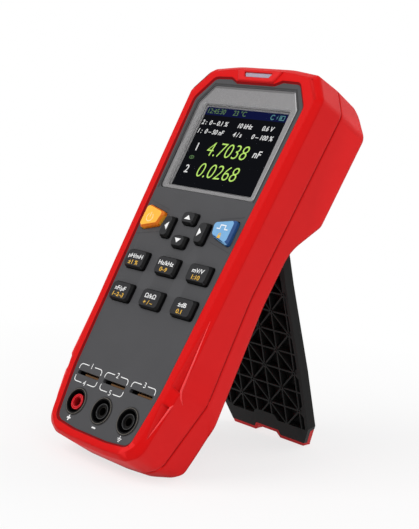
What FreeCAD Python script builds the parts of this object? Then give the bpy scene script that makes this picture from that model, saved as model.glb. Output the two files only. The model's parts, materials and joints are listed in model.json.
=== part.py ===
import FreeCAD, Part
import math
import os

# Handheld component tester, standing on its open kickstand. Sizes are in millimetres.
# Each piece is drawn in the meter's own plane: X to the right, Y up along the panel from the
# display's centre, Z out of the panel face. The last step leans the meter back on its stand.

# Lean and floor contact
lean = 28.0
rest_land = 9.0
rest_land_drop = 2.0

# Case outline: half widths and heights of its corners
case_top = 44.4
case_bottom = -153.6
crown_x = 18.0
corner_x = 35.8
corner_y = 42.3
shoulder_x = 45.2
shoulder_y = 29.8
waist_x = 41.5
waist_y = -64.0
hip_x = 44.5
hip_y = -115.0
toe_x = 34.6
toe_y = -148.2
heel_x = 26.0
heel_y = -152.6
base_x = 12.0
case_wall = 2.4
case_round = (60.0, 4.0, 6.0, 60.0, 14.0, 9.0, 10.0, 40.0)

# Front lip: its height over the panel, and where it is narrower than the case
lip_height = 0.8
lip_slope = 0.9
lip_bevel = 3.1
front_rise = 0.9
front_hip_x = 40.2
lip_hip_x = 35.9
lip_toe_x = 31.4
lip_toe_y = -144.1
lip_heel_x = 24.4
lip_base_bevel = 1.8

# Side grooves of the front shell
groove_tip_y = -82.0
groove_end_y = -114.0
groove_ridge_y = -116.5
groove_depth = 3.2
groove_over = 0.3
groove_rise = 1.0
heel_groove_start_y = -122.5
heel_groove_ridge_y = -123.5
heel_groove_tip_y = -141.0
corner_groove_width = 2.2
corner_groove_depth = 1.3

# Parting plane and back profile
seam_depth = 16.0
seam_flare = 0.5
seam_line = 0.5
back_depth = 36.0
back_draft = 0.8
back_top_y = 27.5
back_shoulder_y = 39.0
back_shoulder_depth = 33.3
back_step_y = -17.5
waist_back_y = -36.0
waist_back_depth = 24.7
hip_back_y = -124.0
hip_back_depth = 25.5
heel_back_y = -145.5
heel_back_depth = 28.8
rear_hip_x = 45.2
rear_hip_y = -136.0
back_shoulder_round = 6.0
back_top_round = 8.0
back_step_round = 5.0
waist_back_round = 22.0
hip_back_round = 30.0
heel_back_round = 4.0
land_round = 3.0

# Front panel
panel_thick = 2.0
panel_gap = 0.1
panel_ledge = 0.8
ledge_thick = 2.0
panel_side_x = 36.9
panel_side_y = 24.2
panel_top_x = 28.6
panel_top_y = 36.0
panel_top_fall = 0.3
tab_root_x = 17.5
tab_x = 12.8
tab_y = 33.9
panel_waist_x = 30.9
panel_waist_y = -119.5
panel_toe_x = 28.2
panel_toe_y = -136.0
panel_heel_x = 26.6
panel_heel_y = -145.3
panel_foot_x = 12.0
panel_foot_y = -146.8
panel_round = (1.0, 1.5, 4.0, 5.0, 60.0, 20.0, 5.0, 30.0)

# Display
bezel_half_width = 33.9
bezel_foot_half_width = 32.6
bezel_top = 32.3
bezel_shoulder_x = 27.6
bezel_shoulder_y = 22.6
bezel_bottom = -24.6
bezel_gap = 0.4
bezel_recess = 0.5
bezel_round = (3.0, 3.0, 2.0)
bezel_flange = 0.8
bezel_flange_thick = 1.0
window_width = 59.6
window_height = 45.2
window_thick = 1.0
window_recess = 0.7
window_ledge = 1.0
window_gap = 0.1
window_round = 1.0
lcd_width = 64.0
lcd_height = 48.0

# Circuit board, its screws and what stands on it
board_depth = 8.0
board_thick = 1.6
board_gap = 0.6
screw_clearance = 0.05
board_screw_radius = 1.1
board_screw_head = 2.2
board_screw_head_thick = 1.4
board_screw_depth = 3.0
boss_radius = 3.0
board_screw_top_x = 38.2
board_screw_top_y = 21.0
board_screw_low_x = 34.6
board_screw_low_y = -97.0
led_size = 3.0
led_height = 1.6
buzzer_radius = 6.0
buzzer_height = 4.0
buzzer_y = -104.0
shield_width = 34.0
shield_height = 26.0
shield_thick = 3.2
shield_y = -60.0
shield_round = 1.0

# Keys: cap, flange behind the panel and stem into its switch
key_gap = 0.3
key_height = 2.8
key_bevel = 0.7
key_straight = 1.4
key_round = 1.6
key_flange = 0.8
key_flange_thick = 0.85
key_flange_gap = 0.15
key_travel = 1.0
stem_radius = 1.5
stem_gap = 0.1
stem_engage = 0.8
stem_length = 3.0
stem_spare = 0.2
switch_size = 6.0
function_key_width = 14.0
function_key_height = 9.2
function_key_pitch = 22.3
function_row_top_y = -63.2
function_row_low_y = -80.1
arrow_y = -44.3
arrow_offset_y = 6.0
arrow_offset_x = 12.2
arrow_wide = 9.0
arrow_narrow = 6.2
arrow_tall = 10.8
wing_outer_x = 31.3
wing_outer_top = -34.8
wing_outer_bottom = -47.8
wing_inner_top_x = 17.8
wing_inner_top = -37.6
wing_inner_bottom_x = 19.4
wing_inner_bottom = -44.4

# Test slots
slot_pitch = 19.5
slot_y = -122.2
slot_length = 16.0
slot_width = 1.9
slot_round = 0.7
slot_block_margin = 0.6
slot_block_height = 7.4
slot_depth = 4.6
contact_thick = 0.4
contact_length = 12.0

# Sockets
jack_pitch = 19.05
jack_y = -135.4
jack_radius = 6.15
jack_proud = 0.4
jack_flange = 0.8
jack_flange_thick = 1.6
jack_recess_radius = 5.3
jack_recess_depth = 9.0
jack_floor = 1.6
jack_post_radius = 3.7
jack_post_drop = 0.4
sleeve_radius = 2.5
sleeve_bore_radius = 2.0
sleeve_drop = 0.4
sleeve_length = 16.0
sleeve_tail_radius = 1.0
sleeve_tail_length = 2.0

# Indicator window in the top of the lip
lens_width = 18.6
lens_foot_width = 16.0
lens_height = 2.3
lens_y = 38.6
lens_proud = 0.2
lens_gap = 0.1
lens_round = 0.5

# Battery and its cover
battery_width = 59.0
battery_height = 35.0
battery_gap = 0.3
battery_y = 5.0
well_wall = 1.6
well_drop = 0.5
cover_thick = 1.6
cover_side_ledge = 3.6
cover_end_ledge = 2.0
cover_round = 3.0
cover_gap = 0.2
cover_plug = 0.8
cover_screw_radius = 0.9
cover_screw_head = 1.5
cover_screw_head_thick = 0.9
cover_screw_length = 5.0
cover_screw_wall = 0.8

# Case screws
case_screw_radius = 1.4
case_screw_head = 2.7
case_screw_head_thick = 2.0
case_screw_sink = 1.0
case_screw_bite = 8.0
case_screw_wall = 1.2
case_screw_top_x = 38.0
case_screw_top_y = 3.0
case_screw_low_x = 37.4
case_screw_low_y = -109.0

# Kickstand
hinge_y = -23.5
hinge_depth = 27.0
stand_length = 115.7
stand_width = 60.0
stand_thick = 5.2
stand_skin = 1.4
stand_wall = 2.0
stand_neck_inset = 1.8
stand_neck_length = 30.0
stand_flare_length = 75.0
stand_side_gap = 1.0
stand_floor_gap = 0.7
barrel_radius = 2.9
barrel_gap = 0.8
pin_radius = 1.5
pin_clearance = 0.05
pin_bite = 4.0
lug_wall = 2.4
rib_pitch = 10.2
rib_width = 0.8
hub_radius = 1.4
least_pocket = 4.0
foot_height = 9.0
foot_skin = 2.3
foot_wrap = 1.6
foot_corner = 5.4
foot_corner_rise = 11.0
notch_top = 13.0
notch_base = 19.0
notch_rise = 3.3
notch_show = 1.6

# Values that follow from the sizes above
lean_cos = math.cos(math.radians(lean))
lean_sin = math.sin(math.radians(lean))
land_start = (case_bottom, -seam_depth - rest_land_drop)
land_end = (land_start[0] + rest_land * lean_sin, land_start[1] - rest_land * lean_cos)
floor_level = land_start[0] * lean_cos + land_start[1] * lean_sin
hinge_rise = hinge_y * lean_cos - hinge_depth * lean_sin - floor_level
stand_open = lean + math.degrees(math.acos(hinge_rise / stand_length))
panel_back = -panel_thick
ledge_back = panel_back - ledge_thick
board_front = -board_depth
board_back = board_front - board_thick
bezel_front = -bezel_recess
bezel_back = panel_back - bezel_flange_thick
window_front = bezel_front - window_recess
window_back = window_front - window_thick
flange_front = panel_back - key_flange_gap
flange_back = flange_front - key_flange_thick
stem_end = flange_back - stem_length
switch_front = stem_end + stem_engage
cover_front = -back_depth + cover_thick
well_front = -seam_depth - well_drop
well_floor = well_front - well_wall
pocket_floor = -hinge_depth + stand_thick / 2 + stand_floor_gap
pocket_half = stand_width / 2 + stand_side_gap
foot_y = hinge_y - stand_length
lip_foot = -(lip_bevel - lip_height)
reach = 300.0


def vec(x, y, z):
    """Returns a point of the meter's own plane."""
    return FreeCAD.Vector(x, y, z)


def mirrored(half):
    """Closes a right-hand half outline, given from top to bottom, with its mirror image."""
    return half + [(-x, y) for x, y in reversed(half)]


def inset(points, distance):
    """Moves every side of a closed outline inwards by a distance."""
    count = len(points)
    area = sum(points[i - 1][0] * points[i][1] - points[i][0] * points[i - 1][1] for i in range(count))
    side = 1.0 if area > 0 else -1.0
    lines = []
    for i in range(count):
        ax, ay = points[i]
        bx, by = points[(i + 1) % count]
        length = math.hypot(bx - ax, by - ay)
        nx, ny = -(by - ay) / length * side, (bx - ax) / length * side
        lines.append((nx, ny, nx * ax + ny * ay + distance))
    moved = []
    for i in range(count):
        a, b, c = lines[i - 1]
        d, e, f = lines[i]
        det = a * e - b * d
        moved.append(((c * e - b * f) / det, (a * f - c * d) / det))
    return moved


def rounded_edges(points, radii, place):
    """Lists the lines and arcs of a closed outline whose corners are rounded."""
    ends = []
    for i, radius in enumerate(radii):
        here = FreeCAD.Vector(*points[i], 0)
        back = (FreeCAD.Vector(*points[i - 1], 0) - here).normalize()
        on = (FreeCAD.Vector(*points[(i + 1) % len(points)], 0) - here).normalize()
        if radius == 0:
            ends.append((here, None, here))
            continue
        half = back.getAngle(on) / 2
        middle = (back + on).normalize()
        centre = here + middle * (radius / math.sin(half))
        reach_along = radius / math.tan(half)
        ends.append((here + back * reach_along, centre - middle * radius, here + on * reach_along))
    edges = []
    for i, (start, middle, end) in enumerate(ends):
        if middle is not None:
            edges.append(Part.Arc(place(start), place(middle), place(end)).toShape())
        edges.append(Part.LineSegment(place(end), place(ends[(i + 1) % len(ends)][0])).toShape())
    return edges


def outline(points, radii, z):
    """Returns a closed wire, with rounded corners, at one height over the panel."""
    return Part.Wire(rounded_edges(points, radii, lambda p: vec(p.x, p.y, z)))


def plate(points, radii, back, front):
    """Returns a flat plate with an outline, between two heights."""
    return Part.Face(outline(points, radii, back)).extrude(vec(0, 0, front - back))


def bar(x0, x1, y0, y1, z0, z1):
    """Returns a block between two corners."""
    return Part.makeBox(x1 - x0, y1 - y0, z1 - z0, vec(x0, y0, z0))


def rod(x, y, back, front, radius):
    """Returns a cylinder that stands on the panel's plane."""
    return Part.makeCylinder(radius, front - back, vec(x, y, back))


def cross_rod(half_length, radius):
    """Returns a cylinder along the stand's hinge."""
    start = vec(-half_length, hinge_y, -hinge_depth)
    return Part.makeCylinder(radius, 2 * half_length, start, vec(1, 0, 0))


def rectangle(width, height, x=0.0, y=0.0):
    """Returns the corners of a rectangle about a centre."""
    w, h = width / 2, height / 2
    return [(x + w, y + h), (x + w, y - h), (x - w, y - h), (x - w, y + h)]


def both_sides(spot):
    """Returns a place and its mirror image."""
    return [spot, (-spot[0], spot[1])]


def one_solid(shape):
    """Merges split faces and returns the single solid of a finished piece."""
    return shape.removeSplitter().Solids[0]


# Outlines of the case at its seam, below the lip's bevel and at the lip, and of the panel
case_radii = case_round + case_round[::-1]
panel_radii = panel_round + panel_round[::-1]
bezel_radii = bezel_round + bezel_round[::-1]

seam_points = mirrored([
    (crown_x, case_top + seam_flare), (corner_x + seam_flare, corner_y + seam_flare),
    (shoulder_x + seam_flare, shoulder_y), (waist_x, waist_y), (hip_x, hip_y),
    (toe_x, toe_y), (heel_x, heel_y), (base_x, case_bottom)])
rear_points = mirrored(seam_points[:4] + [(rear_hip_x, rear_hip_y)] + seam_points[5:8])
brow_points = mirrored([
    (crown_x, case_top), (corner_x, corner_y), (shoulder_x, shoulder_y), (waist_x, waist_y),
    (front_hip_x, hip_y), (toe_x, toe_y + front_rise), (heel_x, heel_y + front_rise),
    (base_x, case_bottom + front_rise)])
lip_points = mirrored([
    (crown_x, case_top - lip_bevel), (corner_x - lip_bevel / 2, corner_y - lip_bevel),
    (shoulder_x - lip_bevel, shoulder_y - lip_bevel / 3), (waist_x - lip_bevel, waist_y),
    (lip_hip_x, hip_y), (lip_toe_x, lip_toe_y), (lip_heel_x, heel_y + front_rise + lip_bevel / 2),
    (base_x, case_bottom + front_rise + lip_base_bevel)])
panel_points = mirrored([
    (tab_x, tab_y), (tab_root_x, panel_top_y), (panel_top_x, panel_top_y - panel_top_fall),
    (panel_side_x, panel_side_y), (panel_waist_x, panel_waist_y), (panel_toe_x, panel_toe_y),
    (panel_heel_x, panel_heel_y), (panel_foot_x, panel_foot_y)])
bezel_points = mirrored([
    (bezel_shoulder_x, bezel_top), (bezel_half_width, bezel_shoulder_y),
    (bezel_foot_half_width, bezel_bottom)])
profile_points = [
    (case_top + case_wall * 4, 0.0), (case_top + case_wall * 4, -seam_depth),
    (back_shoulder_y, -back_shoulder_depth), (back_top_y, -back_depth), (back_step_y, -back_depth),
    (waist_back_y, -waist_back_depth), (hip_back_y, -hip_back_depth), (heel_back_y, -heel_back_depth),
    land_end, land_start, (case_bottom - case_wall * 4, land_start[1]), (case_bottom - case_wall * 4, 0.0)]
profile_radii = [
    0, 0, back_shoulder_round, back_top_round, back_step_round, waist_back_round, hip_back_round,
    heel_back_round, land_round, 0, 0, 0]


def key_outlines():
    """Names each key, with the corners of its cap and the place of its stem."""
    keys = {}
    wing = [(wing_outer_x, wing_outer_top), (wing_outer_x, wing_outer_bottom),
            (wing_inner_bottom_x, wing_inner_bottom), (wing_inner_top_x, wing_inner_top)]
    stem = (sum(x for x, _ in wing) / 4, sum(y for _, y in wing) / 4)
    keys["trigger_key"] = (wing, stem)
    keys["power_key"] = ([(-x, y) for x, y in reversed(wing)], (-stem[0], stem[1]))
    for name, side in (("up_key", 1), ("down_key", -1)):
        y = arrow_y + side * arrow_offset_y
        keys[name] = (rectangle(arrow_wide, arrow_narrow, 0.0, y), (0.0, y))
    for name, side in (("left_key", -1), ("right_key", 1)):
        x = side * arrow_offset_x
        keys[name] = (rectangle(arrow_narrow, arrow_tall, x, arrow_y), (x, arrow_y))
    for row, y in enumerate((function_row_top_y, function_row_low_y)):
        for column in range(3):
            x = (column - 1) * function_key_pitch
            spot = rectangle(function_key_width, function_key_height, x, y)
            keys["function_key_%d" % (row * 3 + column + 1)] = (spot, (x, y))
    return keys


def on_side(points, corner, y):
    """Returns the half width at one height of the side that starts at a numbered corner."""
    ax, ay = points[corner]
    bx, by = points[corner + 1]
    return ax + (bx - ax) * (y - ay) / (by - ay)


def back_at(y):
    """Returns the depth of the back below the waist at one height."""
    share = (y - waist_back_y) / (hip_back_y - waist_back_y)
    return waist_back_depth + share * (hip_back_depth - waist_back_depth)


def case_screw_seats():
    """Lists the place of each case screw with the depth of the back there."""
    seats = [(spot, back_depth) for spot in both_sides((case_screw_top_x, case_screw_top_y))]
    low_spots = both_sides((case_screw_low_x, case_screw_low_y))
    return seats + [(spot, back_at(spot[1])) for spot in low_spots]


def board_screw_places():
    """Lists the place of each board screw."""
    top_spots = both_sides((board_screw_top_x, board_screw_top_y))
    return top_spots + both_sides((board_screw_low_x, board_screw_low_y))


def slot_places():
    """Lists the X of each test slot."""
    return [(i - 1) * slot_pitch for i in range(3)]


def jack_places():
    """Lists the X of each socket."""
    return [(i - 1) * jack_pitch for i in range(3)]


def spike(base, tip):
    """Returns a solid with a three-cornered base that runs out to a tip."""
    a, b, c = base
    sides = [(a, b, c), (a, b, tip), (b, c, tip), (c, a, tip)]
    faces = [Part.Face(Part.makePolygon([p, q, r, p])) for p, q, r in sides]
    return Part.Solid(Part.Shell(faces))


def side_groove(corner, lip_y, ridge_y, tip_y, side):
    """Cuts a tapering valley between the lip and the bevel's outer ridge."""
    lip_x = on_side(lip_points, corner, lip_y)
    ridge_x = on_side(brow_points, corner, ridge_y)
    tip_x = (on_side(lip_points, corner, tip_y) + on_side(brow_points, corner, tip_y)) / 2
    middle_x = (lip_x + ridge_x) / 2
    base = [
        vec(side * (lip_x - groove_over), lip_y, lip_height + groove_rise),
        vec(side * (ridge_x + groove_over), ridge_y, lip_foot + 2 * groove_rise),
        vec(side * middle_x, (lip_y + ridge_y) / 2, lip_foot / 2 - groove_depth)]
    return spike(base, vec(side * tip_x, tip_y, (lip_height + lip_foot) / 2))


def corner_groove(side):
    """Cuts the V-shaped line that sets the top corner's bumper apart."""
    start = vec(side * lip_points[1][0], lip_points[1][1], lip_height)
    end = vec(side * lip_points[2][0], lip_points[2][1], lip_height)
    along = end - start
    across = vec(-along.y, along.x, 0).normalize() * (corner_groove_width / 2)
    deep = vec(0, 0, -corner_groove_depth)
    section = Part.makePolygon([start + across - deep, start + deep, start - across - deep,
                                start + across - deep])
    return Part.Face(section).extrude(along)


def front_shell():
    """Red front half: lip with a bevel and an inner slope, side walls, panel ledge and screw bosses."""
    outer = Part.makeLoft([
        outline(inset(seam_points, seam_line), case_radii, -seam_depth),
        outline(seam_points, case_radii, -seam_depth + seam_line),
        outline(brow_points, case_radii, lip_foot),
        outline(lip_points, case_radii, lip_height)], True, True)
    cavity = Part.makeLoft([
        outline(inset(seam_points, case_wall), case_radii, -seam_depth),
        outline(inset(brow_points, case_wall), case_radii, ledge_back)], True, True)
    shell = outer.cut(cavity)
    bosses = [rod(*spot, -seam_depth, ledge_back, boss_radius) for spot, _ in case_screw_seats()]
    board_spots = board_screw_places()
    bosses += [rod(x, y, board_front, ledge_back, boss_radius) for x, y in board_spots]
    shell = shell.fuse([boss.common(outer) for boss in bosses])
    mouth = Part.makeLoft([
        outline(inset(panel_points, -panel_gap), panel_radii, 0.0),
        outline(inset(panel_points, -panel_gap - 2 * lip_slope), panel_radii, 2 * lip_height)], True, True)
    cuts = [mouth,
            plate(inset(panel_points, -panel_gap), panel_radii, panel_back, 0.0),
            plate(inset(panel_points, panel_ledge), panel_radii, ledge_back, panel_back),
            plate(inset(lens_points(), -lens_gap), [lens_round] * 4, ledge_back, lip_height + case_wall)]
    for spot, _ in case_screw_seats():
        cuts.append(rod(*spot, -seam_depth, -seam_depth + case_screw_bite,
                        case_screw_radius + screw_clearance))
    for spot in board_spots:
        cuts.append(rod(*spot, board_front, board_front + board_screw_depth,
                        board_screw_radius + screw_clearance))
    for side in (1, -1):
        cuts.append(side_groove(3, groove_end_y, groove_ridge_y, groove_tip_y, side))
        cuts.append(side_groove(4, heel_groove_start_y, heel_groove_ridge_y, heel_groove_tip_y, side))
        cuts.append(corner_groove(side))
    return one_solid(shell.cut(cuts))


def back_prism(thinner):
    """Returns everything in front of the back profile, moved in by a wall."""
    points = inset(profile_points, thinner)
    place = lambda p: vec(-reach / 2, p.x, p.y)
    return Part.Face(Part.Wire(rounded_edges(points, profile_radii, place))).extrude(vec(reach, 0, 0))


def battery_well(grow, back, front):
    """Returns a block about the battery, larger by a wall."""
    width = battery_width + 2 * battery_gap + 2 * grow
    height = battery_height + 2 * battery_gap + 2 * grow
    return bar(-width / 2, width / 2, battery_y - height / 2, battery_y + height / 2, back, front)


def cover_points(gap):
    """Returns the corners of the battery cover, or of its seat with no gap."""
    width = battery_width + 2 * battery_gap + 2 * cover_side_ledge - 2 * gap
    height = battery_height + 2 * battery_gap + 2 * cover_end_ledge - 2 * gap
    return rectangle(width, height, 0.0, battery_y)


def cover_screw_places():
    """Lists the place of each battery cover screw."""
    x = battery_width / 2 + battery_gap + cover_side_ledge / 2
    return both_sides((x, battery_y))


def rear_cover():
    """Red rear half: deep behind the display, thin below, with the stand's pocket and battery well."""
    sides = Part.makeLoft([
        outline(inset(rear_points, back_draft), case_radii, -back_depth - case_wall),
        outline(seam_points, case_radii, -seam_depth - seam_line),
        outline(inset(seam_points, seam_line), case_radii, -seam_depth)], True, True)
    outer = sides.common(back_prism(0.0))
    hollow = Part.makeLoft([
        outline(inset(rear_points, back_draft + case_wall), case_radii, -back_depth - case_wall),
        outline(inset(seam_points, case_wall), case_radii, -seam_depth)], True, True)
    pocket_top = hinge_y + barrel_radius + barrel_gap
    pocket_end = foot_y - stand_thick / 2 - stand_side_gap
    keep = pocket_half + case_wall
    pocket_block = bar(-keep, keep, pocket_end - case_wall, pocket_top + case_wall,
                       -reach, pocket_floor + case_wall)
    hollow = hollow.common(back_prism(case_wall)).cut(pocket_block)
    shell = outer.cut(hollow)
    lug = pin_radius + lug_wall
    lug_end = pocket_half + pin_bite + lug_wall
    adds = [bar(-lug_end, lug_end, hinge_y - lug, hinge_y + lug,
                -hinge_depth - lug, pocket_floor + case_wall),
            battery_well(well_wall, -back_depth, well_front)]
    for spot, depth in case_screw_seats():
        adds.append(rod(*spot, -depth, -seam_depth, case_screw_head + case_screw_wall))
    for spot in cover_screw_places():
        adds.append(rod(*spot, -back_depth, cover_front + cover_screw_length,
                        cover_screw_head + cover_screw_wall))
    shell = shell.fuse([add.common(outer) for add in adds])
    cuts = [bar(-pocket_half, pocket_half, pocket_end, pocket_top, -reach, pocket_floor),
            cross_rod(pocket_half + pin_bite, pin_radius),
            battery_well(0.0, -back_depth - case_wall, well_floor),
            plate(cover_points(0.0), [cover_round] * 4, -back_depth - case_wall, cover_front)]
    for spot, depth in case_screw_seats():
        seat = -depth + case_screw_sink + case_screw_head_thick
        cuts.append(rod(*spot, -depth - case_wall, seat, case_screw_head + cover_gap))
        cuts.append(rod(*spot, seat, -seam_depth, case_screw_radius + screw_clearance))
    for spot in cover_screw_places():
        cuts.append(rod(*spot, cover_front, cover_front + cover_screw_length,
                        cover_screw_radius + screw_clearance))
    return one_solid(shell.cut(cuts))


def front_panel():
    """Dark grey face plate with its display, key, slot and socket openings."""
    cuts = [plate(bezel_points, bezel_radii, panel_back, lip_height)]
    for points, _ in key_outlines().values():
        cuts.append(plate(inset(points, -key_gap), [key_round] * 4, panel_back, lip_height))
    for x in slot_places():
        spot = rectangle(slot_length, slot_width, x, slot_y)
        cuts.append(plate(spot, [slot_round] * 4, panel_back, lip_height))
    for x in jack_places():
        cuts.append(rod(x, jack_y, panel_back, lip_height, jack_radius + screw_clearance))
    return one_solid(plate(panel_points, panel_radii, panel_back, 0.0).cut(cuts))


def display_bezel():
    """Silver frame round the window, held by its flange behind the panel."""
    frame = plate(inset(bezel_points, bezel_gap), bezel_radii, bezel_back, bezel_front)
    flange = plate(inset(bezel_points, -bezel_flange), bezel_radii, bezel_back, panel_back)
    seat = plate(rectangle(window_width, window_height), [window_round] * 4, window_back, bezel_front)
    view = rectangle(window_width - 2 * window_ledge, window_height - 2 * window_ledge)
    opening = plate(view, [window_round] * 4, bezel_back, bezel_front)
    return one_solid(frame.fuse(flange).cut([seat, opening]))


def display_window():
    """Clear plate on the bezel's ledge."""
    spot = rectangle(window_width - 2 * window_gap, window_height - 2 * window_gap)
    return plate(spot, [window_round] * 4, window_back, window_front)


def lcd_module():
    """Display module between the bezel and the board."""
    return bar(-lcd_width / 2, lcd_width / 2, -lcd_height / 2, lcd_height / 2, board_front, bezel_back)


def circuit_board():
    """Main board, screwed to the front shell's bosses."""
    points = inset(brow_points, case_wall + board_gap)
    cuts = [rod(x, jack_y, board_back, board_front, jack_radius + board_gap) for x in jack_places()]
    for spot, _ in case_screw_seats():
        cuts.append(rod(*spot, board_back, board_front, boss_radius + board_gap))
    for spot in board_screw_places():
        cuts.append(rod(*spot, board_back, board_front, board_screw_radius + screw_clearance))
    return one_solid(plate(points, case_radii, board_back, board_front).cut(cuts))


def board_screws():
    """Four screws that hold the board."""
    screws = []
    for spot in board_screw_places():
        shank = rod(*spot, board_back, board_front + board_screw_depth, board_screw_radius)
        head = rod(*spot, board_back - board_screw_head_thick, board_back, board_screw_head)
        screws.append(one_solid(shank.fuse(head)))
    return Part.Compound(screws)


def key(points, stem):
    """One key: bevelled cap, flange behind the panel and stem."""
    rounds = [key_round] * len(points)
    cap = plate(points, rounds, flange_front, key_straight)
    crown = Part.makeLoft([
        outline(points, rounds, key_straight),
        outline(inset(points, key_bevel), rounds, key_height)], True, True)
    flange = plate(inset(points, -key_flange), rounds, flange_back, flange_front)
    return one_solid(cap.fuse([crown, flange, rod(*stem, stem_end, flange_back, stem_radius)]))


def key_switches():
    """One switch housing under each key, with the bore that its stem runs in."""
    housings = []
    for _, (x, y) in key_outlines().values():
        half = switch_size / 2
        housing = bar(x - half, x + half, y - half, y + half, board_front, switch_front)
        bore = rod(x, y, stem_end - key_travel - stem_spare, switch_front, stem_radius + stem_gap)
        housings.append(housing.cut(bore))
    return Part.Compound(housings)


def slot_block():
    """Insulating block behind the panel's test slots."""
    half = slot_pitch + slot_length / 2 + slot_block_margin
    high = slot_block_height / 2
    block = bar(-half, half, slot_y - high, slot_y + high, board_front, panel_back)
    wide = slot_width + 2 * contact_thick
    cuts = []
    for x in slot_places():
        spot = rectangle(slot_length, wide, x, slot_y)
        cuts.append(plate(spot, [0] * 4, panel_back - slot_depth, panel_back))
    return one_solid(block.cut(cuts))


def slot_contacts():
    """A pair of spring leaves in each test slot."""
    leaves = []
    for x in slot_places():
        for side in (1, -1):
            y = slot_y + side * (slot_width + contact_thick) / 2
            spot = rectangle(contact_length, contact_thick, x, y)
            leaves.append(plate(spot, [0] * 4, panel_back - slot_depth, panel_back - contact_thick))
    return Part.Compound(leaves)


def jack_insert(x):
    """Insulated socket: collar, recess for a shrouded plug and the post round its sleeve."""
    foot = -jack_recess_depth - jack_floor
    body = rod(x, jack_y, foot, jack_proud, jack_radius)
    flange = rod(x, jack_y, panel_back - jack_flange_thick, panel_back, jack_radius + jack_flange)
    recess = rod(x, jack_y, -jack_recess_depth, jack_proud, jack_recess_radius)
    post = rod(x, jack_y, -jack_recess_depth, -jack_post_drop, jack_post_radius)
    bore = rod(x, jack_y, foot, jack_proud, sleeve_radius)
    return one_solid(body.fuse(flange).cut(recess).fuse(post).cut(bore))


def jack_sleeves():
    """Metal tube in each socket, closed at its foot, with a solder tail."""
    sleeves = []
    front = -jack_post_drop - sleeve_drop
    back = front - sleeve_length
    for x in jack_places():
        tube = rod(x, jack_y, back, front, sleeve_radius)
        bore = rod(x, jack_y, back + sleeve_bore_radius, front, sleeve_bore_radius)
        tail = rod(x, jack_y, back - sleeve_tail_length, back, sleeve_tail_radius)
        sleeves.append(one_solid(tube.cut(bore).fuse(tail)))
    return Part.Compound(sleeves)


def lens_points():
    """Returns the corners of the indicator window."""
    top, foot = lens_y + lens_height / 2, lens_y - lens_height / 2
    return mirrored([(lens_width / 2, top), (lens_foot_width / 2, foot)])


def indicator_lens():
    """Light pipe in the top of the lip, over its lamp."""
    back = board_front + led_height + lens_proud
    return plate(lens_points(), [lens_round] * 4, back, lip_height + lens_proud)


def indicator_led():
    """Lamp on the board, behind the light pipe."""
    half = led_size / 2
    return bar(-half, half, lens_y - half, lens_y + half, board_front, board_front + led_height)


def buzzer():
    """Round sounder on the back of the board."""
    return rod(0.0, buzzer_y, board_back - buzzer_height, board_back, buzzer_radius)


def shield_can():
    """Metal screen over the measuring circuit."""
    spot = rectangle(shield_width, shield_height, 0.0, shield_y)
    return plate(spot, [shield_round] * 4, board_back - shield_thick, board_back)


def battery_pack():
    """Battery, between the well's floor and its cover."""
    spot = rectangle(battery_width, battery_height, 0.0, battery_y)
    return plate(spot, [cover_round] * 4, cover_front + cover_plug, well_floor)


def battery_cover():
    """Rear door, with a plug that fits the well."""
    lid = plate(cover_points(cover_gap), [cover_round] * 4, -back_depth, cover_front)
    spot = rectangle(battery_width, battery_height, 0.0, battery_y)
    plug = plate(spot, [cover_round] * 4, cover_front, cover_front + cover_plug)
    cuts = []
    for spot in cover_screw_places():
        cuts.append(rod(*spot, -back_depth, cover_front, cover_screw_radius + screw_clearance))
        cuts.append(rod(*spot, -back_depth, -back_depth + cover_screw_head_thick,
                        cover_screw_head + cover_gap))
    return one_solid(lid.fuse(plug).cut(cuts))


def battery_screws():
    """Two screws that hold the battery cover."""
    screws = []
    seat = -back_depth + cover_screw_head_thick
    for spot in cover_screw_places():
        head = rod(*spot, -back_depth, seat, cover_screw_head)
        shank = rod(*spot, seat, cover_front + cover_screw_length, cover_screw_radius)
        screws.append(one_solid(head.fuse(shank)))
    return Part.Compound(screws)


def case_screws():
    """Four screws that draw the case halves together."""
    screws = []
    for spot, depth in case_screw_seats():
        seat = -depth + case_screw_sink + case_screw_head_thick
        head = rod(*spot, seat - case_screw_head_thick, seat, case_screw_head)
        shank = rod(*spot, seat, -seam_depth + case_screw_bite, case_screw_radius)
        screws.append(one_solid(head.fuse(shank)))
    return Part.Compound(screws)


def stand_pin():
    """Steel pin that the stand turns on."""
    return cross_rod(pocket_half + pin_bite, pin_radius)


def leaf_slab(back, front, notch_over):
    """Returns the folded stand's outline as a plate, with its foot's notch widened by a margin."""
    end = foot_y - stand_thick
    edge = stand_width / 2
    half = [(edge - stand_neck_inset, hinge_y), (edge - stand_neck_inset, hinge_y - stand_neck_length),
            (edge, hinge_y - stand_flare_length), (edge, foot_y + foot_corner_rise),
            (edge - foot_corner, foot_y), (edge - foot_corner, end),
            (notch_base / 2 + notch_over, end), (notch_base / 2 + notch_over, foot_y),
            (notch_top / 2 + notch_over, foot_y + notch_rise + notch_over)]
    points = mirrored(half)
    return plate(points, [0] * len(points), back, front)


def rib_field(top, floor, front):
    """Returns the space inside the stand's rim, with an arch over the foot's notch."""
    edge = stand_width / 2 - stand_wall
    band = foot_y + foot_height + rib_width
    half = [(edge - stand_neck_inset, top), (edge - stand_neck_inset, hinge_y - stand_neck_length),
            (edge, hinge_y - stand_flare_length), (edge, band),
            (notch_base / 2, band), (notch_top / 2, band + notch_rise)]
    points = mirrored(half)
    return plate(points, [0] * len(points), floor, front)


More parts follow.
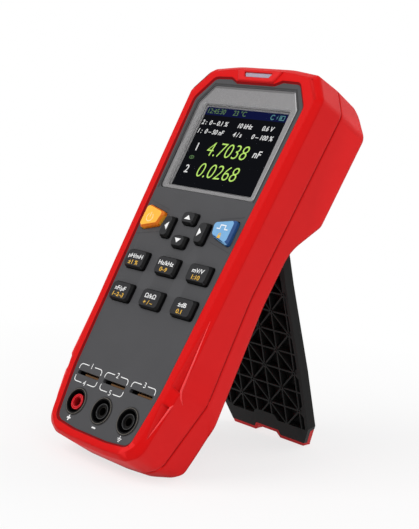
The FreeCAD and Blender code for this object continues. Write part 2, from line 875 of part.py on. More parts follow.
def rib_pockets():
    """Returns the three-cornered pockets between the stand's ribs, round a hub at every second crossing."""
    columns = 2 * math.ceil(stand_width / 2 / rib_pitch) + 1
    top = hinge_y - barrel_radius - rib_width
    rows = math.ceil((top - foot_y) / rib_pitch)
    left = -columns * rib_pitch / 2
    floor = -hinge_depth - stand_thick / 2 + stand_skin
    front = -hinge_depth + stand_thick / 2
    field = rib_field(top, floor, front)
    pockets = []
    hubs = []
    for i in range(columns + 1):
        for j in range(rows + 1):
            if (i + j) % 2 == 1:
                hubs.append(rod(left + i * rib_pitch, top - j * rib_pitch, floor, front, hub_radius))
    for i in range(columns):
        for j in range(rows):
            x0, y0 = left + i * rib_pitch, top - j * rib_pitch
            x1, y1 = x0 + rib_pitch, y0 - rib_pitch
            if (i + j) % 2 == 1:
                halves = [[(x0, y0), (x1, y0), (x1, y1)], [(x0, y0), (x1, y1), (x0, y1)]]
            else:
                halves = [[(x1, y0), (x0, y1), (x0, y0)], [(x1, y0), (x1, y1), (x0, y1)]]
            for half in halves:
                pockets.append(plate(inset(half, rib_width / 2), [0] * 3, floor, front))
    shown = Part.Compound(pockets).cut(Part.Compound(hubs)).common(field)
    return Part.Compound([space for space in shown.Solids if space.Volume > least_pocket * (front - floor)])


def opened(shape):
    """Turns a folded stand piece about its hinge to where its foot meets the floor."""
    moved = shape.copy()
    moved.rotate(vec(0, hinge_y, -hinge_depth), vec(1, 0, 0), stand_open)
    return moved


def stood(shape, shift=0.0):
    """Leans a piece back and sets the meter's floor at height zero."""
    moved = shape.copy()
    moved.Placement = FreeCAD.Placement(
        vec(0, shift, -floor_level), FreeCAD.Rotation(vec(1, 0, 0), 90 - lean)).multiply(moved.Placement)
    return moved


def below(height):
    """Returns all the space under a height over the floor."""
    return bar(-reach, reach, -reach, reach, -reach, height)


def stand():
    """Ribbed leaf with its hinge barrel, standing open."""
    back, front = -hinge_depth - stand_thick / 2, -hinge_depth + stand_thick / 2
    leaf = leaf_slab(back, front, notch_show).cut(rib_pockets())
    leaf = leaf.fuse(cross_rod(stand_width / 2, barrel_radius))
    relief = bar(-reach, reach, foot_y - stand_thick, foot_y + foot_height, back, front - foot_skin)
    leaf = leaf.cut([relief, cross_rod(stand_width / 2, pin_radius + pin_clearance)])
    return one_solid(stood(opened(leaf)).cut(below(foot_wrap)))


def stand_foot(leaf):
    """Rubber foot behind and under the stand's lower edge."""
    back, front = -hinge_depth - stand_thick / 2, -hinge_depth + stand_thick / 2
    zone = bar(-reach, reach, foot_y - stand_thick, foot_y + foot_height, back, front)
    block = stood(opened(leaf_slab(back, front, 0.0).common(zone)))
    return one_solid(block.cut([below(0.0), leaf]))


def pieces():
    """Builds every piece where it stands, on the floor at height zero."""
    made = {}
    for build in (front_shell, rear_cover, front_panel, display_bezel, display_window, lcd_module,
                  circuit_board, board_screws, key_switches, slot_block, slot_contacts, jack_sleeves,
                  indicator_lens, indicator_led, buzzer, shield_can, battery_pack, battery_cover,
                  battery_screws, case_screws, stand_pin):
        made[build.__name__] = stood(build())
    for name, (points, stem) in key_outlines().items():
        made[name] = stood(key(points, stem))
    for name, x in zip(("jack_insert_red", "jack_insert_black", "jack_insert_guard"), jack_places()):
        made[name] = stood(jack_insert(x))
    made["stand"] = stand()
    made["stand_foot"] = stand_foot(made["stand"])
    return made


def main():
    """Centres the meter over its footprint and writes one file for each piece."""
    os.makedirs("parts", exist_ok=True)
    made = pieces()
    box = Part.Compound(list(made.values())).optimalBoundingBox(False)
    shift = -(box.YMin + box.YMax) / 2
    for name, shape in made.items():
        shape.translate(vec(0, shift, 0))
        shape.exportStep("parts/%s.step" % name)
    hinge = stood(Part.Vertex(vec(0, hinge_y, -hinge_depth)), shift).Vertexes[0].Point
    print("hinge at", hinge, "fold", stand_open, "press along", (0, lean_cos, -lean_sin))


main()
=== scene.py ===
"""Looks of a handheld component tester that stands on its open kickstand.

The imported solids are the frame. This script dresses them and adds what they lack: the lit display,
the printed marks, the socket rims, the crosses in the screw heads and the small moulded details.
Sizes of the pieces are in millimetres on the meter's own face; the scene's lengths are in metres.
"""

import json
import logging
import math
from collections.abc import Iterable, Sequence
from dataclasses import dataclass, field
from enum import Enum

import bpy
from mathutils import Matrix, Vector

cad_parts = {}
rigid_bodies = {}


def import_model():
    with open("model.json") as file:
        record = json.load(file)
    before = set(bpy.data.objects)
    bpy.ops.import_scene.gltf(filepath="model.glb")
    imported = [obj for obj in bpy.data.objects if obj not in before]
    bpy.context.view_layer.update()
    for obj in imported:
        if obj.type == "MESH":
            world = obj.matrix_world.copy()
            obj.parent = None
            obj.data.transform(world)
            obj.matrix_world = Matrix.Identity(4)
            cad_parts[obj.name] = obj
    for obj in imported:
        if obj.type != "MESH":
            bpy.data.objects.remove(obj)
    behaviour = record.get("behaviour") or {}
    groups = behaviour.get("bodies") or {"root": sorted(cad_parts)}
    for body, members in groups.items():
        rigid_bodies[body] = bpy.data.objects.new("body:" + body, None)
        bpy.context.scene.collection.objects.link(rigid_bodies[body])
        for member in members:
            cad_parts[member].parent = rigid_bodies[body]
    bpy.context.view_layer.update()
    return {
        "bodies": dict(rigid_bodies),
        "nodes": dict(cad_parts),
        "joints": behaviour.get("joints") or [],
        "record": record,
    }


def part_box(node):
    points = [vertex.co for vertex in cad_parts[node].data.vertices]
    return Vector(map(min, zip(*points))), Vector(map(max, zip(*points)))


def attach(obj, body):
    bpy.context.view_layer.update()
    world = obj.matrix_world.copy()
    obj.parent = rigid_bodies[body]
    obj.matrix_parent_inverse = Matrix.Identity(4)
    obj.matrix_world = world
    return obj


LOG = logging.getLogger("component_tester")

MM = 0.001
METER = "meter"
STAND = "stand"
WELD_MM = 0.002
SOFT_RUNS = 3
SOFT_DEGREES = 20.0
SHARPEST = 0.4
CAPITAL_SHARE = 0.7
WHITE = (1.0, 1.0, 1.0, 1.0)
SCREEN_SLANT = 0.16
SLOT_PITCH = 19.5
SOCKET_PITCH = 19.05
WINDOW_DEPTH = 1.7

Point = tuple[float, float]
Colour = tuple[float, float, float]
Triple = tuple[float, float, float]
BeadPoint = tuple[float, float, float, float]


def srgb(red: int, green: int, blue: int) -> Colour:
    """Turns a screen colour into the linear colour that the shaders take.

    Args:
        red: Red, from 0 to 255.
        green: Green, from 0 to 255.
        blue: Blue, from 0 to 255.

    Returns:
        The linear red, green and blue.
    """

    def linear(value: int) -> float:
        """Returns one channel in linear light."""
        share = value / 255
        return share / 12.92 if share <= 0.04045 else ((share + 0.055) / 1.055) ** 2.4

    return linear(red), linear(green), linear(blue)


def shaded(colour: Colour, factor: float) -> Colour:
    """Returns a colour made darker or lighter by a factor."""
    return tuple(min(1.0, channel * factor) for channel in colour)


class Nodes:
    """Adds and joins the nodes of one tree."""

    def __init__(self, tree: bpy.types.NodeTree) -> None:
        """Takes hold of a tree."""
        self.tree = tree

    def add(self, kind: str, **settings: object) -> bpy.types.Node:
        """Adds a node.

        Args:
            kind: Name of the node's type.
            settings: The node's own settings, by name.

        Returns:
            The new node.
        """
        node = self.tree.nodes.new(kind)
        for name, value in settings.items():
            setattr(node, name, value)
        return node

    def join(self, source: bpy.types.NodeSocket, target: bpy.types.NodeSocket) -> None:
        """Links an output to an input."""
        self.tree.links.new(source, target)


class Wiring(Nodes):
    """The nodes of one material."""

    def __init__(self, material: bpy.types.Material) -> None:
        """Takes hold of a new material's nodes.

        Args:
            material: The material, with its nodes in use.
        """
        super().__init__(material.node_tree)
        self.shader = self.tree.nodes["Principled BSDF"]
        self.place = self.add("ShaderNodeTexCoord").outputs["Object"]

    def put(self, name: str, value: float | Sequence[float]) -> None:
        """Sets one of the shader's inputs to a value."""
        self.shader.inputs[name].default_value = value

    def feed(self, name: str, source: bpy.types.NodeSocket) -> None:
        """Links an output to one of the shader's inputs."""
        self.join(source, self.shader.inputs[name])

    def noise(self, size_mm: float, detail: float = 2.0,
              stretch: Triple = (1.0, 1.0, 1.0)) -> bpy.types.NodeSocket:
        """Adds a noise pattern that is fixed to the object.

        Args:
            size_mm: Size of the pattern's grains.
            detail: Octaves of finer grain.
            stretch: Factor on each axis; a small one draws the grain out along it.

        Returns:
            The pattern's value, about 0.5 on average.
        """
        scaled = self.add("ShaderNodeMapping")
        scaled.inputs["Scale"].default_value = stretch
        self.join(self.place, scaled.inputs["Vector"])
        noise = self.add("ShaderNodeTexNoise")
        noise.inputs["Scale"].default_value = 1.0 / (size_mm * MM)
        noise.inputs["Detail"].default_value = detail
        self.join(scaled.outputs["Vector"], noise.inputs["Vector"])
        return noise.outputs["Fac"]

    def span(self, value: bpy.types.NodeSocket, low: float, high: float,
             start: float = 0.3, end: float = 0.7) -> bpy.types.NodeSocket:
        """Maps a value to a span.

        Args:
            value: The value to map.
            low: Result at the start.
            high: Result at the end.
            start: Value that gives the low result.
            end: Value that gives the high result.

        Returns:
            The mapped value.
        """
        mapped = self.add("ShaderNodeMapRange")
        for name, number in (("From Min", start), ("From Max", end), ("To Min", low), ("To Max", high)):
            mapped.inputs[name].default_value = number
        self.join(value, mapped.inputs["Value"])
        return mapped.outputs["Result"]

    def mix(self, share: bpy.types.NodeSocket, first: Colour | bpy.types.NodeSocket,
            second: Colour | bpy.types.NodeSocket) -> bpy.types.NodeSocket:
        """Blends two colours.

        Args:
            share: Share of the second colour.
            first: A colour, or an output that gives one.
            second: A colour, or an output that gives one.

        Returns:
            The blended colour.
        """
        node = self.add("ShaderNodeMix", data_type="RGBA")
        sockets = [socket for socket in node.inputs if socket.type == "RGBA"]
        for socket, colour in zip(sockets, (first, second)):
            if isinstance(colour, bpy.types.NodeSocket):
                self.join(colour, socket)
            else:
                socket.default_value = (*colour, 1.0)
        self.join(share, node.inputs[0])
        return next(socket for socket in node.outputs if socket.type == "RGBA")

    def facing(self, out: Triple, start: float = 0.7, end: float = 0.95) -> bpy.types.NodeSocket:
        """Finds the faces that look along a direction.

        Args:
            out: The direction.
            start: Cosine of the angle to it at which the result is 0.
            end: Cosine of the angle to it at which the result is 1.

        Returns:
            The share of the faces that look along it.
        """
        node = self.add("ShaderNodeVectorMath", operation="DOT_PRODUCT")
        node.inputs[1].default_value = out
        self.join(self.add("ShaderNodeNewGeometry").outputs["Normal"], node.inputs[0])
        return self.span(node.outputs["Value"], 0.0, 1.0, start, end)

    def bump(self, height: bpy.types.NodeSocket, strength: float, depth_mm: float,
             round_mm: float = 0.0) -> None:
        """Turns a pattern into fine relief on the shader's normal.

        Args:
            height: The pattern.
            strength: Strength of the relief.
            depth_mm: Depth of the relief.
            round_mm: Reach of the soft shading of edges, or 0 for none.
        """
        node = self.add("ShaderNodeBump")
        node.inputs["Strength"].default_value = strength
        node.inputs["Distance"].default_value = depth_mm * MM
        if round_mm:
            soft = self.add("ShaderNodeBevel", samples=8)
            soft.inputs["Radius"].default_value = round_mm * MM
            self.join(soft.outputs["Normal"], node.inputs["Normal"])
        self.join(height, node.inputs["Height"])
        self.feed("Normal", node.outputs["Normal"])


@dataclass(frozen=True)
class Finish:
    """A surface finish, made into a material on first use."""

    name: str
    colour: Colour
    roughness: float = 0.5

    def material(self) -> bpy.types.Material:
        """Makes the finish's material, or finds it again.

        Returns:
            The material.
        """
        label = self.name + "_finish"
        found = bpy.data.materials.get(label)
        if found is not None:
            return found
        made = bpy.data.materials.new(label)
        made.use_nodes = True
        made.diffuse_color = (*self.colour, 1.0)
        wiring = Wiring(made)
        wiring.put("Base Color", (*self.colour, 1.0))
        wiring.put("Roughness", self.roughness)
        self.dress(wiring)
        return made

    def dress(self, wiring: Wiring) -> None:
        """Adds the nodes that set this kind of finish apart."""

    def give(self, piece: bpy.types.Object) -> None:
        """Puts the finish on every face of a piece."""
        piece.data.materials.clear()
        piece.data.materials.append(self.material())


@dataclass(frozen=True)
class MouldedPlastic(Finish):
    """Moulded plastic: fine tool grain, slight cloudiness and paler edges."""

    grain_mm: float = 0.25
    grain: float = 0.25
    cloud: float = 0.05
    edge: float = 1.12
    gloss: float = 0.5
    round_mm: float = 0.0
    cloud_mm: float = 14.0
    wear_and_highlight_start: float = 0.53
    wear_and_highlight_end: float = 0.62
    spread: float = 0.06
    relief_mm: float = 0.03

    def tint(self, wiring: Wiring) -> bpy.types.NodeSocket:
        """Returns the cloudy colour of the moulding."""
        cloud = wiring.span(wiring.noise(self.cloud_mm, detail=3.0), 0.0, 1.0)
        return wiring.mix(cloud, shaded(self.colour, 1 - self.cloud), shaded(self.colour, 1 + self.cloud))

    def dress(self, wiring: Wiring) -> None:
        """Adds grain, cloudiness and paler edges: wear from handling, and where the edge factor is raised, as
        on the keys and the stand's ribs, a painted highlight.

        Args:
            wiring: The nodes of the finish's material.
        """
        wiring.put("Specular IOR Level", self.gloss)
        # Paler convex edges: handling wear, and a painted highlight where the edge factor is raised.
        wear_and_highlight = wiring.add("ShaderNodeNewGeometry").outputs["Pointiness"]
        edge = wiring.span(wear_and_highlight, 0.0, 1.0, self.wear_and_highlight_start, self.wear_and_highlight_end)
        colour = wiring.mix(edge, self.tint(wiring), shaded(self.colour, self.edge))
        wiring.feed("Base Color", colour)
        grain = wiring.noise(self.grain_mm)
        rough = wiring.span(grain, self.roughness - self.spread, self.roughness + self.spread)
        wiring.feed("Roughness", rough)
        wiring.bump(grain, self.grain, self.relief_mm, self.round_mm)


@dataclass(frozen=True)
class FacingLitPlastic(MouldedPlastic):
    """Moulded plastic with painted light and shade: faces that look along out take the top colour, and the
    sides take the side colour, deeper where they stand in shade and paler where light falls on them.
    """

    side: Colour = (0.0, 0.0, 0.0)
    out: Triple = (0.0, 0.0, 1.0)

    def tint(self, wiring: Wiring) -> bpy.types.NodeSocket:
        """Returns the cloudy colour of the top, and the side colour painted on the sides as their light and
        shade.
        """
        return wiring.mix(wiring.facing(self.out), self.side, super().tint(wiring))


@dataclass(frozen=True)
class SeamedPlastic(MouldedPlastic):
    """Moulded plastic with painted shade: a deeper red on the faces that look to the front, and the shadow of
    a parting line in one plane.
    """

    point: Triple = (0.0, 0.0, 0.0)
    normal: Triple = (0.0, 0.0, 1.0)
    # The next four fields set the painted shade of the front faces: the share of green and blue and of red
    # that stays, and the span of facing over which it comes in.
    front: float = 0.2
    front_shade_red: float = 0.92
    front_shade_start: float = 0.2
    front_shade_end: float = 0.6
    half_mm: float = 0.3
    core: float = 0.6
    shade: float = 0.5

    def tint(self, wiring: Wiring) -> bpy.types.NodeSocket:
        """Paints shade as a deeper red on the faces that look to the front, and lays the dark line over it.

        Args:
            wiring: The nodes of the finish's material.

        Returns:
            The cloudy colour of the moulding, with its line.
        """
        moved = wiring.add("ShaderNodeVectorMath", operation="SUBTRACT")
        moved.inputs[1].default_value = self.point
        wiring.join(wiring.place, moved.inputs[0])
        along = wiring.add("ShaderNodeVectorMath", operation="DOT_PRODUCT")
        along.inputs[1].default_value = self.normal
        wiring.join(moved.outputs["Vector"], along.inputs[0])
        gap = wiring.add("ShaderNodeMath", operation="ABSOLUTE")
        wiring.join(along.outputs["Value"], gap.inputs[0])
        half = self.half_mm * MM
        share = wiring.span(gap.outputs["Value"], 1.0, 0.0, self.core * half, half)
        # Painted shade: the faces that look to the front take a deeper red.
        red, green, blue = self.colour
        painted_shade_red = (self.front_shade_red * red, self.front * green, self.front * blue)
        front = wiring.facing(self.normal, self.front_shade_start, self.front_shade_end)
        moulding = wiring.mix(front, super().tint(wiring), painted_shade_red)
        return wiring.mix(share, moulding, shaded(self.colour, self.shade))


@dataclass(frozen=True)
class FlakePaint(Finish):
    """Silver paint with fine bright flakes."""

    flake: Colour = (0.5, 0.5, 0.5)
    flake_mm: float = 0.12
    flake_start: float = 0.45
    flake_end: float = 0.75
    metallic: float = 0.35
    spread: float = 0.08

    def tint(self, wiring: Wiring, flakes: bpy.types.NodeSocket) -> bpy.types.NodeSocket:
        """Returns the colour of the paint with its flakes."""
        share = wiring.span(flakes, 0.0, 1.0, self.flake_start, self.flake_end)
        return wiring.mix(share, self.colour, self.flake)

    def dress(self, wiring: Wiring) -> None:
        """Adds the flakes and their sparkle.

        Args:
            wiring: The nodes of the finish's material.
        """
        wiring.put("Metallic", self.metallic)
        flakes = wiring.noise(self.flake_mm, detail=1.0)
        wiring.feed("Base Color", self.tint(wiring, flakes))
        rough = wiring.span(flakes, self.roughness - self.spread, self.roughness + self.spread)
        wiring.feed("Roughness", rough)
        wiring.bump(flakes, strength=0.12, depth_mm=0.01)


@dataclass(frozen=True)
class WallLitPaint(FlakePaint):
    """Silver paint on a frame whose inner walls are painted brighter than its front: painted light."""

    wall_light: Colour = (0.5, 0.5, 0.5)
    out: Triple = (0.0, 0.0, 1.0)

    def tint(self, wiring: Wiring, flakes: bpy.types.NodeSocket) -> bpy.types.NodeSocket:
        """Returns the paint's colour on the front, and the painted light on the inner walls."""
        return wiring.mix(wiring.facing(self.out), self.wall_light, super().tint(wiring, flakes))


@dataclass(frozen=True)
class TurnedMetal(Finish):
    """Metal with fine tool lines."""

    lines: Triple = (1.0, 1.0, 0.05)
    line_mm: float = 0.15
    stain_mm: float = 3.0
    stain: float = 0.85
    smoother: float = 0.08
    rougher: float = 0.1

    def dress(self, wiring: Wiring) -> None:
        """Adds the metal's lustre, tool lines and light stains.

        Args:
            wiring: The nodes of the finish's material.
        """
        wiring.put("Metallic", 1.0)
        marks = wiring.noise(self.line_mm, detail=3.0, stretch=self.lines)
        stain = wiring.span(wiring.noise(self.stain_mm, detail=3.0), 0.0, 1.0)
        colour = wiring.mix(stain, shaded(self.colour, self.stain), self.colour)
        wiring.feed("Base Color", colour)
        rough = wiring.span(marks, self.roughness - self.smoother, self.roughness + self.rougher)
        wiring.feed("Roughness", rough)
        wiring.bump(marks, strength=0.15, depth_mm=0.01)


@dataclass(frozen=True)
class Ink(Finish):
    """Screen-printed ink, a little uneven."""

    film_mm: float = 0.3
    thin: float = 0.93

    def dress(self, wiring: Wiring) -> None:
        """Adds the mesh's faint unevenness.

        Args:
            wiring: The nodes of the finish's material.
        """
        film = wiring.noise(self.film_mm)
        colour = wiring.mix(wiring.span(film, 0.0, 1.0), shaded(self.colour, self.thin), self.colour)
        wiring.feed("Base Color", colour)
        wiring.bump(film, strength=0.1, depth_mm=0.01)


@dataclass(frozen=True)
class ScreenLight(Finish):
    """Lit pixels of the display, with faint rows between them."""

    strength: float = 1.0
    row_scale: float = 900.0
    between: float = 0.92

    def dress(self, wiring: Wiring) -> None:
        """Adds the light of the pixels.

        Args:
            wiring: The nodes of the finish's material.
        """
        rows = wiring.add("ShaderNodeTexWave", wave_type="BANDS", bands_direction="Z")
        rows.inputs["Scale"].default_value = self.row_scale
        wiring.join(wiring.place, rows.inputs["Vector"])
        share = wiring.span(rows.outputs["Fac"], 0.0, 1.0, 0.0, 1.0)
        glow = wiring.mix(share, shaded(self.colour, self.between), self.colour)
        wiring.feed("Emission Color", glow)
        wiring.put("Emission Strength", self.strength)
        wiring.put("Base Color", (0.0, 0.0, 0.0, 1.0))
        wiring.put("Specular IOR Level", 0.0)


@dataclass(frozen=True)
class ClearPlate(Finish):
    """Clear plate with a coating that takes away reflections."""

    haze: float = 0.04
    clean: float = 0.6
    wipe_mm: float = 9.0

    def dress(self, wiring: Wiring) -> None:
        """Lets light through, with faint wipe marks.

        Args:
            wiring: The nodes of the finish's material.
        """
        wiring.put("Specular IOR Level", 0.0)
        wipe = wiring.noise(self.wipe_mm, detail=4.0)
        wiring.feed("Alpha", wiring.span(wipe, self.clean * self.haze, self.haze))


@dataclass(frozen=True)
class FrostedLens(Finish):
    """Milky light pipe."""

    milk: float = 0.4
    milk_mm: float = 1.0
    etch_mm: float = 0.2
    etched: float = 0.94

    def dress(self, wiring: Wiring) -> None:
        """Adds milky depth and fine etching.

        Args:
            wiring: The nodes of the finish's material.
        """
        wiring.put("Subsurface Weight", self.milk)
        wiring.put("Subsurface Scale", self.milk_mm * MM)
        etch = wiring.noise(self.etch_mm)
        colour = wiring.mix(wiring.span(etch, 0.0, 1.0), shaded(self.colour, self.etched), self.colour)
        wiring.feed("Base Color", colour)
        wiring.bump(etch, strength=0.2, depth_mm=0.02)


@dataclass(frozen=True)
class CircuitLaminate(Finish):
    """Board with solder mask over copper tracks."""

    track: Colour = (0.02, 0.16, 0.05)
    track_scale: float = 220.0
    bare: float = 0.8

    def dress(self, wiring: Wiring) -> None:
        """Adds the tracks that show through the mask.

        Args:
            wiring: The nodes of the finish's material.
        """
        tracks = wiring.add("ShaderNodeTexBrick")
        tracks.inputs["Scale"].default_value = self.track_scale
        tracks.inputs["Color1"].default_value = (*self.colour, 1.0)
        tracks.inputs["Color2"].default_value = (*shaded(self.colour, self.bare), 1.0)
        tracks.inputs["Mortar"].default_value = (*self.track, 1.0)
        wiring.join(wiring.place, tracks.inputs["Vector"])
        wiring.feed("Base Color", tracks.outputs["Color"])
        wiring.bump(tracks.outputs["Fac"], strength=0.3, depth_mm=0.02)


SHELL_RED = MouldedPlastic("shell_red", srgb(216, 33, 34), 0.5,
                           grain_mm=0.22, grain=0.12, cloud=0.02, edge=1.12, gloss=0.08, round_mm=2.4)
# Painted highlight: a paler red for the beads along the grooves.
BEAD_HIGHLIGHT_RED = MouldedPlastic("bead_red", srgb(232, 50, 52), 0.3,
                          grain_mm=0.22, grain=0.1, cloud=0.02, gloss=0.45)
PANEL_GREY = MouldedPlastic("panel_grey", srgb(70, 70, 72), 0.55,
                            grain_mm=0.18, grain=0.3, cloud=0.03, edge=1.1, gloss=0.15)
# Painted shade for the slope inside the lip.
SLOPE_SHADE_RED = MouldedPlastic("slope_red", srgb(128, 8, 12), 0.5,
                           grain_mm=0.22, grain=0.12, cloud=0.02, gloss=0.06)
FOOT_RED = MouldedPlastic("foot_red", srgb(196, 24, 28), 0.68,
                          grain_mm=0.5, grain=0.4, cloud=0.05)
SOCKET_BLACK = MouldedPlastic("socket_black", srgb(7, 7, 8), 0.5,
                              grain_mm=0.2, grain=0.15, cloud=0.05, gloss=0.06)
SOCKET_RED = MouldedPlastic("socket_red", srgb(168, 14, 22), 0.5,
                            grain_mm=0.2, grain=0.15, cloud=0.04, gloss=0.08)
SLEEVE_RED = MouldedPlastic("sleeve_red", srgb(150, 10, 18), 0.5,
                            grain_mm=0.2, grain=0.15, cloud=0.04, gloss=0.1)
# Painted highlights: pale rings on the edges of the sockets' posts.
POST_HIGHLIGHT_RED = MouldedPlastic("edge_red", srgb(212, 34, 44), 0.4,
                          grain_mm=0.2, grain=0.1, cloud=0.04, gloss=0.2)
POST_HIGHLIGHT_GREY = MouldedPlastic("edge_grey", srgb(54, 54, 54), 0.4,
                           grain_mm=0.2, grain=0.1, cloud=0.04, gloss=0.2)
SWITCH_BLACK = MouldedPlastic("switch_black", srgb(30, 30, 31), 0.6, grain_mm=0.3)
BATTERY_WRAP = MouldedPlastic("battery_wrap", srgb(38, 60, 104), 0.35, grain_mm=0.8, cloud=0.08)
EDGE_SILVER = FlakePaint("edge_silver", srgb(80, 79, 80), 0.45, flake=srgb(112, 111, 112))
# Painted highlight: a bright silver line along the display frame's edge.
RIM_HIGHLIGHT_SILVER = FlakePaint("rim_silver", srgb(168, 167, 168), 0.35, flake=srgb(204, 203, 204))
SCREW_STEEL = TurnedMetal("screw_steel", srgb(170, 172, 176), 0.32)
SHIELD_TIN = TurnedMetal("shield_tin", srgb(196, 198, 200), 0.3, lines=(0.05, 1.0, 1.0))
CONTACT_BRASS = TurnedMetal("contact_brass", srgb(150, 108, 66), 0.4)
# Painted shade: the sleeves are near black, as the deep bores lie in shade.
SLEEVE_SHADE = TurnedMetal("sleeve_dark", srgb(36, 34, 32), 0.5)
WINDOW_CLEAR = ClearPlate("window_clear", srgb(3, 3, 4), 0.08)
LCD_BLACK = MouldedPlastic("lcd_black", srgb(18, 19, 23), 0.5, grain_mm=0.4, grain=0.05)
LENS_FROSTED = FrostedLens("lens_frosted", srgb(160, 152, 170), 0.35)
BOARD_GREEN = CircuitLaminate("board_green", srgb(20, 74, 40), 0.45)
INK_WHITE = Ink("ink_white", srgb(236, 236, 236), 0.5)
INK_AMBER = Ink("ink_amber", srgb(222, 172, 46), 0.5)
INK_PALE_ORANGE = Ink("ink_pale_orange", srgb(255, 214, 150), 0.5)
# Painted shade: a darker grey for the lines of the contours round the coloured keys.
SWEEP_SHADE = MouldedPlastic("sweep_grey", srgb(58, 58, 60), 0.55, grain_mm=0.18, gloss=0.15)
# Painted shade of grooves and gaps: the line round the display and the rings round the sockets.
GROOVE_SHADE = Ink("groove_dark", srgb(14, 14, 15), 0.7)
# Painted highlight: the pale grey of the sockets' rims.
RIM_HIGHLIGHT_GREY = MouldedPlastic("rim_grey", srgb(96, 92, 86), 0.45, grain_mm=0.2, gloss=0.2)
LEAF_BROWN = TurnedMetal("leaf_brown", srgb(92, 66, 42), 0.5)
GLOW_GREEN = ScreenLight("glow_green", srgb(196, 240, 116))
GLOW_DIM_GREEN = ScreenLight("glow_dim_green", srgb(96, 128, 84))
GLOW_WHITE = ScreenLight("glow_white", srgb(232, 232, 232))
GLOW_NAVY = ScreenLight("glow_navy", srgb(17, 22, 62))
GLOW_CYAN = ScreenLight("glow_cyan", srgb(88, 138, 142))
GLOW_BLACK = ScreenLight("glow_black", srgb(17, 18, 22))


@dataclass(frozen=True)
class FacePlane:
    """A plane of the meter on which pieces are placed in millimetres."""

    origin: Vector
    across: Vector
    up: Vector
    out: Vector

    def at(self, x: float, y: float, z: float = 0.0) -> Vector:
        """Returns the place of a point of the plane.

        Args:
            x: Millimetres to the right.
            y: Millimetres up along the plane.
            z: Millimetres out of the plane.

        Returns:
            The point in the frame, in metres.
        """
        return self.origin + (self.across * x + self.up * y + self.out * z) * MM

    def local(self, place: Vector) -> Vector:
        """Returns the millimetres right, up and out of a point of the frame."""
        offset = (place - self.origin) / MM
        return Vector((offset.dot(self.across), offset.dot(self.up), offset.dot(self.out)))

    def matrix(self, x: float, y: float, z: float) -> Matrix:
        """Returns the placing of an object whose own X and Y lie in the plane."""
        turned = Matrix((self.across, self.up, self.out)).transposed().to_4x4()
        return Matrix.Translation(self.at(x, y, z)) @ turned

    def turned(self, hinge: Vector, degrees: float) -> "FacePlane":
        """Turns the plane about its own X.

        Args:
            hinge: Point of the frame that becomes the turned plane's origin.
            degrees: Angle of the turn.

        Returns:
            The turned plane.
        """
        angle = math.radians(degrees)
        up = self.up * math.cos(angle) + self.out * math.sin(angle)
        return FacePlane(hinge, self.across, up, self.out * math.cos(angle) - self.up * math.sin(angle))


@dataclass
class Pattern:
    """Flat faces, in millimetres, that are raised into a thin solid."""

    points: list[Point] = field(default_factory=list)
    faces: list[list[int]] = field(default_factory=list)

    def corner(self, point: Point) -> int:
        """Finds a point, and adds it unless it is there already.

        Args:
            point: The point.

        Returns:
            Its number.
        """
        rounded = (round(point[0], 4), round(point[1], 4))
        if rounded not in self.points:
            self.points.append(rounded)
        return self.points.index(rounded)

    def shape(self, corners: Sequence[Point]) -> "Pattern":
        """Adds one face.

        Args:
            corners: The face's corners in order, either way round.

        Returns:
            This pattern.
        """
        area = sum(a[0] * b[1] - b[0] * a[1] for a, b in zip(corners, [*corners[1:], corners[0]]))
        ordered = corners if area > 0 else reversed(corners)
        self.faces.append([self.corner(point) for point in ordered])
        return self

    def bar(self, x: float, y: float, width: float, height: float) -> "Pattern":
        """Adds an upright rectangle about its centre."""
        left, right, low, high = x - width / 2, x + width / 2, y - height / 2, y + height / 2
        return self.shape([(left, low), (right, low), (right, high), (left, high)])

    def line(self, path: Sequence[Point], width: float, closed: bool = False) -> "Pattern":
        """Adds a ribbon along a path.

        Args:
            path: Points of the ribbon's middle.
            width: Width of the ribbon.
            closed: Whether the path returns to its start.

        Returns:
            This pattern.
        """
        count = len(path)
        first = len(self.points)
        for i, (x, y) in enumerate(path):
            before = path[i - 1] if closed or i > 0 else path[i]
            after = path[(i + 1) % count] if closed or i < count - 1 else path[i]
            back = Vector((x - before[0], y - before[1]))
            on = Vector((after[0] - x, after[1] - y))
            back = back.normalized() if back.length else on.normalized()
            on = on.normalized() if on.length else back
            normal = Vector((-back.y - on.y, back.x + on.x)).normalized()
            reach = width / 2 / max(SHARPEST, normal.dot(Vector((-on.y, on.x))))
            self.points.append((x - normal.x * reach, y - normal.y * reach))
            self.points.append((x + normal.x * reach, y + normal.y * reach))
        for i in range(count if closed else count - 1):
            a, b = first + 2 * i, first + 2 * ((i + 1) % count)
            self.faces.append([a, b, b + 1, a + 1])
        return self

    def raised(self, name: str, plane: FacePlane, base: float, height: float) -> bpy.types.Object:
        """Raises the faces into a solid.

        Args:
            name: Name of the piece.
            plane: Plane that the pattern lies on.
            base: Millimetres from the plane to the solid's underside.
            height: Thickness of the solid in millimetres.

        Returns:
            The new piece.
        """
        count = len(self.points)
        places = [plane.at(x, y, base + height) for x, y in self.points]
        places += [plane.at(x, y, base) for x, y in self.points]
        edges = [(a, b) for face in self.faces for a, b in zip(face, [*face[1:], face[0]])]
        inner = set(edges)
        faces = [list(face) for face in self.faces]
        faces += [[count + i for i in reversed(face)] for face in self.faces]
        faces += [[b, a, count + a, count + b] for a, b in edges if (b, a) not in inner]
        return new_piece(name, places, faces)


